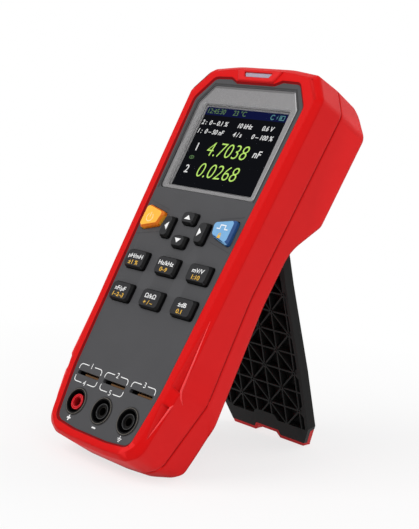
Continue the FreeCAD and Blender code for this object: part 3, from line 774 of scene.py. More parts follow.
def new_piece(name: str, places: Iterable[Vector], faces: Sequence[Sequence[int]],
              smooth: bool = False) -> bpy.types.Object:
    """Makes a mesh object.

    Args:
        name: Name of the piece.
        places: Corners in the frame, in metres.
        faces: Corners of each face, by number.
        smooth: Whether the faces are shaded as one curved surface.

    Returns:
        The new object.
    """
    mesh = bpy.data.meshes.new(name)
    mesh.from_pydata([tuple(place) for place in places], [], [list(face) for face in faces])
    mesh.polygons.foreach_set("use_smooth", [smooth] * len(mesh.polygons))
    mesh.update()
    piece = bpy.data.objects.new(name, mesh)
    bpy.context.scene.collection.objects.link(piece)
    return piece


def arc(x: float, y: float, radius: float, start: float, end: float, steps: int = 12) -> list[Point]:
    """Lists the points of an arc.

    Args:
        x: Centre, to the right.
        y: Centre, upwards.
        radius: Radius of the arc.
        start: First angle in degrees, from the right and anticlockwise.
        end: Last angle in degrees.
        steps: Number of runs.

    Returns:
        The arc's points.
    """
    angles = [math.radians(start + (end - start) * i / steps) for i in range(steps + 1)]
    return [(x + radius * math.cos(angle), y + radius * math.sin(angle)) for angle in angles]


def trapezium(foot_half: float, top_half: float, low: float, high: float) -> list[Point]:
    """Lists the corners of an upright trapezium.

    Args:
        foot_half: Half its width below.
        top_half: Half its width above.
        low: Level of its foot.
        high: Level of its top.

    Returns:
        The corners, anticlockwise from the lower left.
    """
    return [(-foot_half, low), (foot_half, low), (top_half, high), (-top_half, high)]


def turned_ring(name: str, plane: FacePlane, centre: Point, profile: Sequence[Point],
                steps: int = 72) -> bpy.types.Object:
    """Turns a closed profile about an axis out of a plane.

    Args:
        name: Name of the piece.
        plane: Plane that the axis stands on.
        centre: Place of the axis.
        profile: Radius and height of each corner of the closed profile.
        steps: Number of faces round the ring.

    Returns:
        The new piece.
    """
    count = len(profile)
    places = []
    for i in range(steps):
        angle = 2 * math.pi * i / steps
        cos, sin = math.cos(angle), math.sin(angle)
        places += [plane.at(centre[0] + radius * cos, centre[1] + radius * sin, height)
                   for radius, height in profile]
    faces = []
    for i in range(steps):
        here, there = i * count, (i + 1) % steps * count
        for j in range(count):
            k = (j + 1) % count
            faces.append([here + j, there + j, there + k, here + k])
    return new_piece(name, places, faces, smooth=True)


def joined(name: str, pieces: Sequence[bpy.types.Object]) -> bpy.types.Object:
    """Joins pieces of one finish into a single mesh.

    Args:
        name: Name of the new piece.
        pieces: The pieces, which are taken away.

    Returns:
        The new piece.
    """
    places, faces, smooth = [], [], []
    for piece in pieces:
        first = len(places)
        places += [piece.matrix_world @ corner.co for corner in piece.data.vertices]
        faces += [[first + i for i in face.vertices] for face in piece.data.polygons]
        smooth += [face.use_smooth for face in piece.data.polygons]
    for piece in pieces:
        bpy.data.objects.remove(piece)
    made = new_piece(name, places, faces)
    made.data.polygons.foreach_set("use_smooth", smooth)
    return made


def soften_edges(piece: bpy.types.Object, width_mm: float) -> None:
    """Rounds the sharp edges of a piece by modifiers.

    Args:
        piece: A solid of the frame, or a new piece.
        width_mm: Width of the rounding.
    """
    weld = piece.modifiers.new("weld", "WELD")
    weld.merge_threshold = WELD_MM * MM
    bevel = piece.modifiers.new("soften", "BEVEL")
    bevel.width = width_mm * MM
    bevel.segments = SOFT_RUNS
    bevel.limit_method = "ANGLE"
    bevel.angle_limit = math.radians(SOFT_DEGREES)
    bevel.use_clamp_overlap = True
    normals = piece.modifiers.new("normals", "WEIGHTED_NORMAL")
    normals.keep_sharp = False


class Align(Enum):
    """Where a line of lettering starts from its place."""

    LEFT = "LEFT"
    CENTRE = "CENTER"


@dataclass(frozen=True)
class Lettering:
    """A line of numerals or unit symbols."""

    words: str
    size: float
    slant: float = 0.0
    stretch: float = 1.0
    weight: float = 0.0
    align: Align = Align.CENTRE

    def raised(self, name: str, plane: FacePlane, x: float, y: float, base: float,
               height: float) -> bpy.types.Object:
        """Raises the lettering into a thin solid.

        Args:
            name: Name of the piece.
            plane: Plane that the lettering lies on.
            x: Place of the line, to the right.
            y: Place of the line's middle, upwards.
            base: Millimetres from the plane to the underside.
            height: Thickness in millimetres.

        Returns:
            The new piece.
        """
        curve = bpy.data.curves.new(name, "FONT")
        curve.body = self.words
        curve.size = self.size * MM / CAPITAL_SHARE
        curve.shear = self.slant
        curve.offset = self.weight * MM
        curve.extrude = height * MM / 2
        curve.resolution_u = 4
        curve.align_x = self.align.value
        curve.align_y = "CENTER"
        holder = bpy.data.objects.new(name, curve)
        bpy.context.scene.collection.objects.link(holder)
        bpy.context.view_layer.update()
        shown = holder.evaluated_get(bpy.context.evaluated_depsgraph_get())
        mesh = bpy.data.meshes.new_from_object(shown)
        bpy.data.objects.remove(holder)
        place = plane.matrix(x, y, base + height / 2) @ Matrix.Diagonal((self.stretch, 1.0, 1.0, 1.0))
        mesh.transform(place)
        mesh.name = name
        piece = bpy.data.objects.new(name, mesh)
        bpy.context.scene.collection.objects.link(piece)
        return piece


@dataclass
class Assembly:
    """What every sub-assembly shares: the frame and the meter's face."""

    frame: dict
    face: FacePlane

    def keep(self, piece: bpy.types.Object, finish: Finish, body: str = METER,
             slot: str = "") -> bpy.types.Object:
        """Finishes a new piece and lets it ride on a body.

        Args:
            piece: The new piece.
            finish: Its finish.
            body: Body that it moves with.
            slot: The record's material slot, if one fits; not used.

        Returns:
            The piece.
        """
        finish.give(piece)
        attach(piece, body)
        LOG.info("piece %s on %s, %s", piece.name, body, finish.name)
        return piece

    def coat(self, node: str, finish: Finish, soften: float = 0.0) -> None:
        """Finishes a solid of the frame.

        Args:
            node: Name of the solid.
            finish: Its finish.
            soften: Width in millimetres of the rounding of its edges, or 0 for none.
        """
        solid = self.frame["nodes"][node]
        finish.give(solid)
        if soften:
            soften_edges(solid, soften)
        LOG.info("solid %s, %s", node, finish.name)

    def build(self) -> None:
        """Builds the pieces that the solids lack."""

    def dress(self) -> None:
        """Finishes the solids of the frame."""


@dataclass
class CaseHalves(Assembly):
    """Front and rear mouldings of the case."""

    edge: float = 0.8
    seam: float = -16.0
    bead_sink: float = 0.3
    bead_section: tuple[Point, ...] = (
        (-1.0, -1.0), (-1.0, 0.0), (-0.6, 0.75), (0.0, 1.0), (0.6, 0.75), (1.0, 0.0), (1.0, -1.0))
    lip_height: float = 0.8
    lip_lean: float = 0.79
    lip_play: float = 0.11
    middle: Point = (0.0, -55.0)
    probe: float = 20.0
    side_bead: tuple[BeadPoint, ...] = (
        (39.4, -82.0, 0.15, 0.05), (39.75, -100.0, 0.4, 0.3), (39.9, -114.8, 0.55, 0.5),
        (40.1, -117.5, 0.4, 0.3), (40.35, -119.8, 0.15, 0.05))
    heel_bead: tuple[BeadPoint, ...] = (
        (39.0, -121.6, 0.15, 0.05), (38.35, -123.0, 0.45, 0.4), (37.9, -125.0, 0.5, 0.45),
        (36.7, -130.0, 0.4, 0.35), (35.4, -135.0, 0.3, 0.25), (34.2, -139.0, 0.15, 0.05))

    def dress(self) -> None:
        """Finishes both halves, with the shadow of the line where they meet."""
        point = tuple(self.face.at(0.0, 0.0, self.seam))
        # The case's red carries painted shade: a deeper red on the faces that look to the front.
        red = SeamedPlastic("case_red", SHELL_RED.colour, SHELL_RED.roughness, grain=SHELL_RED.grain,
                            cloud=SHELL_RED.cloud, gloss=SHELL_RED.gloss, round_mm=SHELL_RED.round_mm,
                            point=point, normal=tuple(self.face.out))
        self.coat("front_shell", red, self.edge)
        self.coat("rear_cover", red, self.edge)
        self.paint_slope_shade()

    def paint_slope_shade(self) -> None:
        """Paints shade on the slope inside the lip: its faces take a deeper red."""
        mesh = self.frame["nodes"]["front_shell"].data
        mesh.materials.append(SLOPE_SHADE_RED.material())
        middle = self.face.at(*self.middle)
        for polygon in mesh.polygons:
            level = self.face.local(polygon.center).z
            lean = abs(polygon.normal.dot(self.face.out) - self.lip_lean)
            along = polygon.normal - self.face.out * polygon.normal.dot(self.face.out)
            inward = along.dot(middle - polygon.center) > 0
            polygon.material_index = int(0 < level < self.lip_height and lean < self.lip_play and inward)

    def build(self) -> None:
        """Adds the raised beads along the grooves in the sides, whose paler, glossier red is a painted
        highlight.
        """
        beads = [self.bead([(side * x, y, half, rise) for x, y, half, rise in path])
                 for side in (-1, 1) for path in (self.side_bead, self.heel_bead)]
        self.keep(joined("groove_beads", beads), BEAD_HIGHLIGHT_RED, slot="shell_red")

    def surface(self, x: float, y: float) -> tuple[Vector, Vector]:
        """Finds the front shell's surface over a point of the face.

        Args:
            x: Millimetres to the right.
            y: Millimetres up along the face.

        Returns:
            The surface's place and its normal there.
        """
        shell = self.frame["nodes"]["front_shell"]
        hit, place, normal, _ = shell.ray_cast(self.face.at(x, y, self.probe), -self.face.out)
        if not hit:
            raise ValueError(f"no shell at {x}, {y}")
        return place, normal

    def bead(self, path: Sequence[BeadPoint]) -> bpy.types.Object:
        """Lays a rounded bead on the front shell.

        Args:
            path: Place, half width and rise of the bead at each point, in millimetres.

        Returns:
            The bead.
        """
        count = len(self.bead_section)
        feet = [self.surface(x, y) for x, y, _, _ in path]
        places = []
        for i, (_, _, half, rise) in enumerate(path):
            along = feet[min(i + 1, len(path) - 1)][0] - feet[max(i - 1, 0)][0]
            foot, normal = feet[i]
            across = normal.cross(along).normalized()
            for side, up in self.bead_section:
                height = rise * up if up > 0 else self.bead_sink * up
                places.append(foot + (across * side * half + normal * height) * MM)
        faces = [list(range(count)), list(range(len(places) - 1, len(places) - count - 1, -1))]
        for i in range(len(path) - 1):
            for j in range(count):
                k = (j + 1) % count
                faces.append([i * count + k, i * count + j, (i + 1) * count + j, (i + 1) * count + k])
        return new_piece("bead", places, faces, smooth=True)


@dataclass
class FacePanel(Assembly):
    """Dark face plate with its printed marks, and a dark line of painted shade for the groove moulded round
    the display.
    """

    ink: float = 0.06
    line: float = 0.4
    groove: float = 0.8
    groove_foot: Point = (33.3, -25.0)
    groove_side: Point = (34.6, 22.9)
    groove_top: Point = (28.0, 33.0)
    groove_arch: float = 0.1
    slot_pitch: float = SLOT_PITCH
    bracket_half: float = 8.2
    bracket_top: float = -118.0
    bracket_foot: float = -126.6
    bracket_leg: float = 2.7
    bracket_round: float = 1.6
    numeral_gap: float = 2.2
    numeral_size: float = 2.6
    socket_pitch: float = SOCKET_PITCH
    sign_y: float = -143.6
    sign_size: float = 2.6
    sign_line: float = 0.7
    sweep: float = 0.4
    sweep_outer_x: float = 32.4
    sweep_inner_x: float = 18.0
    sweep_top: Point = (-32.4, -35.4)
    sweep_foot: Point = (-50.2, -47.0)

    def dress(self) -> None:
        """Finishes the plate."""
        self.coat("front_panel", PANEL_GREY, soften=0.15)

    def build(self) -> None:
        """Adds the painted shade of the groove round the display and of the sweeps, the slots' brackets and
        the sockets' signs.
        """
        self.keep(self.display_line(), GROOVE_SHADE)
        self.keep(self.sweeps(), SWEEP_SHADE)
        self.keep(self.brackets(), INK_WHITE)
        self.keep(self.numerals(), INK_WHITE)
        self.keep(self.signs(), INK_WHITE)

    def display_line(self) -> bpy.types.Object:
        """Makes the dark line of painted shade for the groove round the display, open below.

        Returns:
            The line.
        """
        side = [self.groove_foot, self.groove_side, self.groove_top]
        left = [(-x, y) for x, y in side]
        path = [*left, (0.0, self.groove_top[1] + self.groove_arch), *reversed(side)]
        return Pattern().line(path, self.groove).raised("display_line", self.face, 0.0, self.ink)

    def sweeps(self) -> bpy.types.Object:
        """Makes the faint darker lines over and under each coloured key: painted shade of the contours
        moulded there.

        Returns:
            The lines as one piece.
        """
        pattern = Pattern()
        for side in (-1, 1):
            for outer, inner in (self.sweep_top, self.sweep_foot):
                ends = [(side * self.sweep_outer_x, outer), (side * self.sweep_inner_x, inner)]
                pattern.line(ends, self.sweep)
        return pattern.raised("key_sweeps", self.face, 0.0, self.ink)

    def bracket(self, pattern: Pattern, x: float, y: float, leg: float) -> None:
        """Adds a bracket that is open in the middle for its numeral.

        Args:
            pattern: Pattern that takes the bracket.
            x: The bracket's middle.
            y: Level of its long line.
            leg: Length of its end legs, below zero where they point down.
        """
        turn = math.copysign(self.bracket_round, leg)
        for side in (-1, 1):
            bend = [(x + side * (self.bracket_half - self.bracket_round * (1 - cos)), y + turn * (1 - sin))
                    for cos, sin in arc(0.0, 0.0, 1.0, 0.0, 90.0, steps=6)]
            path = [(x + side * self.bracket_half, y + leg), *bend, (x + side * self.numeral_gap, y)]
            pattern.line(path, self.line)

    def brackets(self) -> bpy.types.Object:
        """Makes the brackets over and under the slots.

        Returns:
            The brackets as one piece.
        """
        pattern = Pattern()
        for i in (-1, 0, 1):
            self.bracket(pattern, i * self.slot_pitch, self.bracket_top, -self.bracket_leg)
        for i in (-1, 0):
            self.bracket(pattern, i * self.slot_pitch, self.bracket_foot, self.bracket_leg)
        return pattern.raised("slot_brackets", self.face, 0.0, self.ink)

    def numerals(self) -> bpy.types.Object:
        """Makes the plain numerals in the brackets' gaps.

        Returns:
            The numerals as one piece.
        """
        places = [(i * self.slot_pitch, self.bracket_top) for i in (-1, 0, 1)]
        places += [(i * self.slot_pitch, self.bracket_foot) for i in (-1, 0)]
        return joined("slot_numerals", [
            Lettering(str(i + 1), self.numeral_size).raised("numeral", self.face, x, y, 0.0, self.ink)
            for i, (x, y) in enumerate(places)])

    def signs(self) -> bpy.types.Object:
        """Makes the plus, minus and earth signs under the sockets.

        Returns:
            The signs as one piece.
        """
        pattern = Pattern()
        left, right, size, line = -self.socket_pitch, self.socket_pitch, self.sign_size, self.sign_line
        pattern.bar(left, self.sign_y, size, line)
        for side in (-1, 1):
            pattern.bar(left, self.sign_y + side * (size + line) / 4, line, (size - line) / 2)
        pattern.bar(0.0, self.sign_y, size, line)
        pattern.bar(right, self.sign_y + size / 4, line / 2, size / 2)
        for i in range(3):
            pattern.bar(right, self.sign_y - i * line, size - i * size / 3, line / 2)
        return pattern.raised("socket_signs", self.face, 0.0, self.ink)


@dataclass(frozen=True)
class ScreenLine:
    """One line of numbers on the display, from its left end."""

    text: str
    x: float
    y: float
    size: float
    slant: float = 0.0


@dataclass
class Display(Assembly):
    """Silver frame, clear window and the lit picture behind it."""

    level: float = -2.98
    film: float = 0.05
    half_width: float = 29.4
    half_height: float = 22.2
    bar_foot: float = 17.4
    clock: tuple[ScreenLine, ...] = (
        ScreenLine("12:45:30     23 °C", x=-28.0, y=19.5, size=2.7),)
    lines: tuple[ScreenLine, ...] = (
        ScreenLine("2 :  0 – 0.1 %       10 kHz       0.6 V",
                   x=-28.0, y=13.2, size=2.45, slant=SCREEN_SLANT),
        ScreenLine("1 :  0 – 50 nF       4 / s       0 – 100 %",
                   x=-28.5, y=8.4, size=2.45, slant=SCREEN_SLANT),
        ScreenLine("nF", x=16.0, y=-0.4, size=3.7, slant=SCREEN_SLANT),
        ScreenLine("1", x=-24.6, y=-0.3, size=4.2),
        ScreenLine("2", x=-24.6, y=-12.4, size=4.2))
    line_weight: float = 0.05
    digits: tuple[ScreenLine, ...] = (
        ScreenLine("4.7038", x=-16.0, y=-0.8, size=7.7, slant=SCREEN_SLANT),
        ScreenLine("0.0268", x=-16.0, y=-12.2, size=7.7, slant=SCREEN_SLANT))
    digit_weight: float = -0.15
    digit_stretch: float = 0.95
    icon_y: float = 19.45
    loop_x: float = 17.8
    loop_radius: float = 1.2
    loop_ends: Point = (40.0, 320.0)
    loop_line: float = 0.45
    bolt: tuple[tuple[Point, ...], ...] = (
        ((20.2, -0.2), (21.1, 1.3), (20.8, 0.2), (20.8, -0.2)),
        ((20.3, -1.4), (21.2, 0.2), (20.8, 0.2), (20.8, -0.2)))
    battery: tuple[Point, ...] = ((22.4, -1.1), (25.4, -1.1), (25.4, 1.1), (22.4, 1.1))
    charge_x: float = 23.3
    charge_width: float = 0.9
    charge_height: float = 1.4
    fine_line: float = 0.35
    eye_place: Point = (-23.6, -5.9)
    eye_half: Point = (1.5, 0.8)
    pupil_width: float = 0.8
    pupil_height: float = 0.6
    rim_width: float = 0.45
    rim_base: float = -0.52
    rim_thick: float = 0.1
    rim_foot: Point = (32.1, -24.1)
    rim_side: Point = (33.4, 22.3)
    rim_shoulder: Point = (27.3, 31.7)
    edge_width: float = 1.2
    edge_foot: Point = (32.75, 0.0)

    def dress(self) -> None:
        """Finishes the frame, window and module."""
        # The frame's inner walls take a painted light.
        silver = WallLitPaint("bezel_silver", srgb(105, 104, 105), 0.42, flake=srgb(152, 151, 152),
                               wall_light=srgb(206, 205, 206), out=tuple(self.face.out))
        self.coat("display_bezel", silver, soften=0.12)
        self.coat("display_window", WINDOW_CLEAR)
        self.coat("lcd_module", LCD_BLACK)

    def build(self) -> None:
        """Adds the frame's edges, the bright one a painted highlight, then the picture in layers: dark field,
        bar and marks.
        """
        # Painted highlight: a thin bright line along the frame's right edge and upper right corner.
        rim = Pattern().line([self.rim_foot, self.rim_side, self.rim_shoulder], self.rim_width)
        self.keep(rim.raised("bezel_rim", self.face, self.rim_base, self.rim_thick), RIM_HIGHLIGHT_SILVER)
        left = [(-x, y) for x, y in (self.edge_foot, self.rim_side, self.rim_shoulder)]
        edge = Pattern().line([*left, self.rim_shoulder], self.edge_width)
        self.keep(edge.raised("bezel_edge", self.face, self.rim_base, self.rim_thick), EDGE_SILVER)
        field_shape = Pattern().bar(0.0, 0.0, 2 * self.half_width, 2 * self.half_height)
        self.keep(field_shape.raised("screen_field", self.face, self.level, self.film), GLOW_BLACK)
        bar_height = self.half_height - self.bar_foot
        bar_shape = Pattern().bar(0.0, self.bar_foot + bar_height / 2, 2 * self.half_width, bar_height)
        self.keep(bar_shape.raised("screen_bar", self.face, self.level + self.film, self.film), GLOW_NAVY)
        self.keep(self.words("screen_clock", self.clock), GLOW_DIM_GREEN)
        self.keep(self.icons(), GLOW_CYAN)
        self.keep(self.words("screen_lines", self.lines, self.line_weight), GLOW_WHITE)
        digits = self.words("screen_digits", self.digits, self.digit_weight, self.digit_stretch)
        self.keep(digits, GLOW_GREEN)
        self.keep(self.eye(), GLOW_DIM_GREEN)

    def words(self, name: str, lines: Sequence[ScreenLine], weight: float = 0.0,
              stretch: float = 1.0) -> bpy.types.Object:
        """Returns lines of lit numbers and units as one piece.

        Args:
            name: Name of the piece.
            lines: The lines.
            weight: Millimetres added to each side of a stroke.
            stretch: Factor on the width.

        Returns:
            The piece.
        """
        base = self.level + 2 * self.film
        pieces = []
        for line in lines:
            lettering = Lettering(line.text, line.size, line.slant, stretch, weight, Align.LEFT)
            pieces.append(lettering.raised("line", self.face, line.x, line.y, base, self.film))
        return joined(name, pieces)

    def icons(self) -> bpy.types.Object:
        """Makes the bar's small signs: a loop, a bolt and a battery.

        Returns:
            The signs as one piece.
        """
        loop = arc(self.loop_x, self.icon_y, self.loop_radius, *self.loop_ends, steps=16)
        pattern = Pattern().line(loop, self.loop_line)
        for half in self.bolt:
            pattern.shape([(x, self.icon_y + y) for x, y in half])
        pattern.line([(x, self.icon_y + y) for x, y in self.battery], self.fine_line, closed=True)
        pattern.bar(self.charge_x, self.icon_y, self.charge_width, self.charge_height)
        return pattern.raised("screen_icons", self.face, self.level + 2 * self.film, self.film)

    def eye(self) -> bpy.types.Object:
        """Makes the small sign between the two readings.

        Returns:
            The sign.
        """
        x, y = self.eye_place
        wide, tall = self.eye_half
        oval = [(x + wide * cos, y + tall * sin) for cos, sin in arc(0.0, 0.0, 1.0, 0.0, 345.0, steps=23)]
        pattern = Pattern().line(oval, self.fine_line, closed=True)
        pattern.bar(x, y, self.pupil_width, self.pupil_height)
        return pattern.raised("screen_eye", self.face, self.level + 2 * self.film, self.film)


@dataclass
class Keypad(Assembly):
    """Keys with their printed marks."""

    top: float = 2.8
    ink: float = 0.06
    arrow_y: float = -44.3
    arrow_reach_x: float = 11.8
    arrow_reach_y: float = 6.0
    arrow_half: float = 2.1
    arrow_depth: float = 2.2
    function_pitch: float = 22.3
    function_rows: Point = (-63.2, -80.1)
    first_row: float = 0.9
    second_row: float = -2.3
    legend: float = 2.1
    legend_stretch: float = 1.15
    legend_weight: float = 0.04
    captions: tuple[tuple[str, str], ...] = (
        ("µH/mH", "±1 %"), ("Hz/kHz", "0–9"), ("mV/V", "1:10"),
        ("nF/µF", "1–2–3"), ("Ω/kΩ", "+ / –"), ("±dB", "0.1"))
    symbol_line: float = 0.5
    power_place: Point = (-25.6, -41.9)
    power_radius: float = 2.1
    power_ends: Point = (125.0, 415.0)
    power_rise: float = 1.5
    power_stroke: float = 2.4
    trigger_place: Point = (25.0, -39.8)
    pulse: tuple[Point, ...] = ((-3.6, -0.9), (-1.6, -0.9), (-1.6, 1.0), (1.6, 1.0), (1.6, -0.9), (3.6, -0.9))
    lock_drop: float = 4.0
    lock_width: float = 2.0
    lock_height: float = 1.4
    shackle_half: float = 0.6
    shackle_rise: float = 0.4
    shackle_line: float = 0.35
    soft: float = 0.25

    def dress(self) -> None:
        """Finishes the keys and their switches."""
        out = tuple(self.face.out)
        # Each key's sides take a deeper colour than its top: painted shade.
        black = FacingLitPlastic("key_black", srgb(33, 33, 35), 0.45, grain_mm=0.15, grain=0.15, edge=1.3,
                              gloss=0.14, side=srgb(7, 7, 8), out=out)
        orange = FacingLitPlastic("key_orange", srgb(250, 180, 56), 0.4, grain=0.1, gloss=0.25,
                               side=srgb(232, 118, 14), out=out)
        blue = FacingLitPlastic("key_blue", srgb(116, 168, 212), 0.4, grain=0.1, gloss=0.25,
                             side=srgb(42, 84, 142), out=out)
        for node in self.frame["nodes"]:
            if node.startswith("function_key") or node in ("up_key", "down_key", "left_key", "right_key"):
                self.coat(node, black, self.soft)
        self.coat("power_key", orange, self.soft)
        self.coat("trigger_key", blue, self.soft)
        self.coat("key_switches", SWITCH_BLACK)

    def build(self) -> None:
        """Adds every key's marks."""
        self.arrows()
        self.power_mark()
        self.trigger_marks()
        self.legends()

    def mark(self, pattern: Pattern, name: str, finish: Finish, key: str) -> None:
        """Prints a pattern on a key's top."""
        self.keep(pattern.raised(name, self.face, self.top, self.ink), finish, key)

    def arrows(self) -> None:
        """Prints an arrow on each direction key."""
        for key, x, y in (("up_key", 0, 1), ("down_key", 0, -1), ("left_key", -1, 0), ("right_key", 1, 0)):
            base = Vector((x * (self.arrow_reach_x - self.arrow_depth / 2),
                           self.arrow_y + y * (self.arrow_reach_y - self.arrow_depth / 2)))
            along = Vector((x, y))
            side = Vector((-y, x)) * self.arrow_half
            corners = [tuple(base - side), tuple(base + along * self.arrow_depth), tuple(base + side)]
            self.mark(Pattern().shape(corners), key + "_arrow", INK_WHITE, key)

    def power_mark(self) -> None:
        """Prints the power symbol."""
        x, y = self.power_place
        pattern = Pattern().line(arc(x, y, self.power_radius, *self.power_ends, steps=28), self.symbol_line)
        pattern.bar(x, y + self.power_rise, self.symbol_line, self.power_stroke)
        self.mark(pattern, "power_symbol", INK_PALE_ORANGE, "power_key")

    def trigger_marks(self) -> None:
        """Prints a pulse over a small lock."""
        x, y = self.trigger_place
        path = [(x + dx, y + dy) for dx, dy in self.pulse]
        self.mark(Pattern().line(path, self.symbol_line), "trigger_pulse", INK_WHITE, "trigger_key")
        lock_y = y - self.lock_drop
        half = self.shackle_half
        bow = arc(x, lock_y + self.shackle_rise, half, 180.0, 0.0, steps=8)
        lock = Pattern().line([(x - half, lock_y), *bow, (x + half, lock_y)], self.shackle_line)
        lock.bar(x, lock_y - self.lock_height / 2, self.lock_width, self.lock_height)
        self.mark(lock, "trigger_lock", INK_AMBER, "trigger_key")

    def legends(self) -> None:
        """Prints two rows of unit symbols on each function key."""
        rows = (("upper", self.first_row, INK_WHITE), ("lower", self.second_row, INK_AMBER))
        for i, caption in enumerate(self.captions):
            key = f"function_key_{i + 1}"
            x = (i % 3 - 1) * self.function_pitch
            y = self.function_rows[i // 3]
            for text, (label, rise, finish) in zip(caption, rows):
                lettering = Lettering(text, self.legend, stretch=self.legend_stretch,
                                      weight=self.legend_weight)
                piece = lettering.raised(f"{key}_{label}", self.face, x, y + rise, self.top, self.ink)
                self.keep(piece, finish, key)


@dataclass
class TestSlots(Assembly):
    """Test slots with their spring leaves."""

    pitch: float = SLOT_PITCH
    y: float = -122.2
    leaf_start: float = -3.0
    leaf_end: float = 7.4
    leaf_width: float = 0.8
    leaf_rise: float = -0.35
    leaf_sink: float = -1.3
    leaf_thick: float = 0.3

    def dress(self) -> None:
        """Finishes the block and the leaves."""
        self.coat("slot_block", SOCKET_BLACK)
        self.coat("slot_contacts", CONTACT_BRASS)

    def build(self) -> None:
        """Adds the bent end of a spring leaf in each slot."""
        pattern = Pattern()
        middle = (self.leaf_start + self.leaf_end) / 2
        for i in (-1, 0, 1):
            pattern.bar(i * self.pitch + middle, self.y + self.leaf_rise, self.leaf_end - self.leaf_start,
                        self.leaf_width)
        self.keep(pattern.raised("slot_leaves", self.face, self.leaf_sink, self.leaf_thick), LEAF_BROWN)


@dataclass
class Sockets(Assembly):
    """Sockets in the face: black inserts with rims, one with a red post."""

    pitch: float = SOCKET_PITCH
    y: float = -135.4
    post_reach: float = 4.2
    post_radius: float = 3.7
    post_bore: float = 2.85
    post_drop: float = 0.4
    ring_width: float = 0.35
    ring_rise: float = 0.05
    ring_sink: float = 0.05
    rim_inner: float = 5.95
    rim_outer: float = 6.25
    rim_top: float = 0.55
    rim_soft: float = 0.15
    rim_foot: float = 0.3
    shade_outer: float = 6.9
    shade_sink: float = 0.02
    shade_rise: float = 0.05

    def dress(self) -> None:
        """Finishes the inserts and their sleeves."""
        for node in ("jack_insert_black", "jack_insert_guard", "jack_insert_red"):
            self.coat(node, SOCKET_BLACK, soften=0.12)
        self.coat("jack_sleeves", SLEEVE_SHADE)
        self.redden("jack_insert_red", SOCKET_RED)
        self.redden("jack_sleeves", SLEEVE_RED)

    def redden(self, node: str, finish: Finish) -> None:
        """Gives what lies near the first socket's axis a finish of its own.

        Args:
            node: Name of the solid.
            finish: Finish of its faces that lie within the post's reach.
        """
        mesh = self.frame["nodes"][node].data
        mesh.materials.append(finish.material())
        axis = self.face.at(-self.pitch, self.y)
        for polygon in mesh.polygons:
            offset = polygon.center - axis
            inward = offset - self.face.out * offset.dot(self.face.out)
            polygon.material_index = int(inward.length < self.post_reach * MM)

    def edge(self, i: int, outer: float) -> bpy.types.Object:
        """Returns a thin ring on a post's front.

        Args:
            i: The socket, from -1 on the left to 1 on the right.
            outer: Radius of the ring's outer edge.

        Returns:
            The ring.
        """
        low, high = -self.post_drop - self.ring_sink, -self.post_drop + self.ring_rise
        inner = outer - self.ring_width
        profile = [(inner, low), (outer, low), (outer, high), (inner, high)]
        return turned_ring("edge", self.face, (i * self.pitch, self.y), profile)

    def build(self) -> None:
        """Adds round each socket a raised rim whose pale grey is a painted highlight and a dark ring of
        painted shade, and pale rings of painted highlight on the edges of its post.
        """
        # Painted highlights: pale rings on the edges of each post.
        red_edges = [self.edge(-1, radius) for radius in (self.post_radius, self.post_bore)]
        self.keep(joined("post_edges_red", red_edges), POST_HIGHLIGHT_RED)
        self.keep(joined("post_edges_black", [self.edge(i, self.post_radius) for i in (0, 1)]), POST_HIGHLIGHT_GREY)
        middle = (self.rim_inner + self.rim_outer) / 2
        brim = self.rim_top - self.rim_soft
        profile = [(self.rim_inner, self.rim_foot), (self.rim_outer, 0.0), (self.rim_outer, brim),
                   (middle, self.rim_top), (self.rim_inner, brim)]
        flat = [(self.rim_outer, -self.shade_sink), (self.shade_outer, -self.shade_sink),
                (self.shade_outer, self.shade_rise), (self.rim_outer, self.shade_rise)]
        rims, shade_rings = [], []
        for i in (-1, 0, 1):
            spot = (i * self.pitch, self.y)
            rims.append(turned_ring("rim", self.face, spot, profile))
            shade_rings.append(turned_ring("seat", self.face, spot, flat))
        self.keep(joined("socket_rims", rims), RIM_HIGHLIGHT_GREY)
        self.keep(joined("socket_seats", shade_rings), GROOVE_SHADE)


@dataclass
class Indicator(Assembly):
    """Light pipe in the top of the lip, with the raised brow that it sits in."""

    lens_half: float = 9.4
    lens_foot_half: float = 8.1
    lens_height: float = 2.5
    lens_y: float = 38.6
    brow_half: float = 15.4
    brow_foot_half: float = 12.4
    brow_top: float = 41.6
    brow_foot: float = 34.9
    brow_slope: float = 0.5
    brow_soft: float = 0.3
    base: float = 0.7
    rise: float = 1.0

    def dress(self) -> None:
        """Finishes the light pipe and its lamp."""
        self.coat("indicator_led", LENS_FROSTED)
        self.coat("indicator_lens", LENS_FROSTED, soften=0.15)

    def build(self) -> None:
        """Adds the brow: a bevelled block with an opening over the light pipe."""
        slope = self.brow_slope
        outer = trapezium(self.brow_foot_half, self.brow_half, self.brow_foot, self.brow_top)
        inner = trapezium(self.brow_foot_half - slope, self.brow_half - slope, self.brow_foot + slope,
                          self.brow_top - slope)
        low, high = self.lens_y - self.lens_height / 2, self.lens_y + self.lens_height / 2
        hole = trapezium(self.lens_foot_half, self.lens_half, low, high)
        top = self.base + self.rise
        rings = [(outer, self.base), (inner, top), (hole, top), (hole, self.base)]
        places = [self.face.at(x, y, z) for ring, z in rings for x, y in ring]
        faces = []
        for i in range(len(rings)):
            here, there = 4 * i, 4 * ((i + 1) % len(rings))
            for j in range(4):
                k = (j + 1) % 4
                faces.append([here + j, here + k, there + k, there + j])
        brow = self.keep(new_piece("lens_brow", places, faces), SHELL_RED, slot="shell_red")
        soften_edges(brow, self.brow_soft)


@dataclass
class Inside(Assembly):
    """Board and what stands on it."""

    def dress(self) -> None:
        """Finishes the hidden parts."""
        self.coat("circuit_board", BOARD_GREEN)
        self.coat("board_screws", SCREW_STEEL)
        self.coat("buzzer", SWITCH_BLACK)
        self.coat("shield_can", SHIELD_TIN)


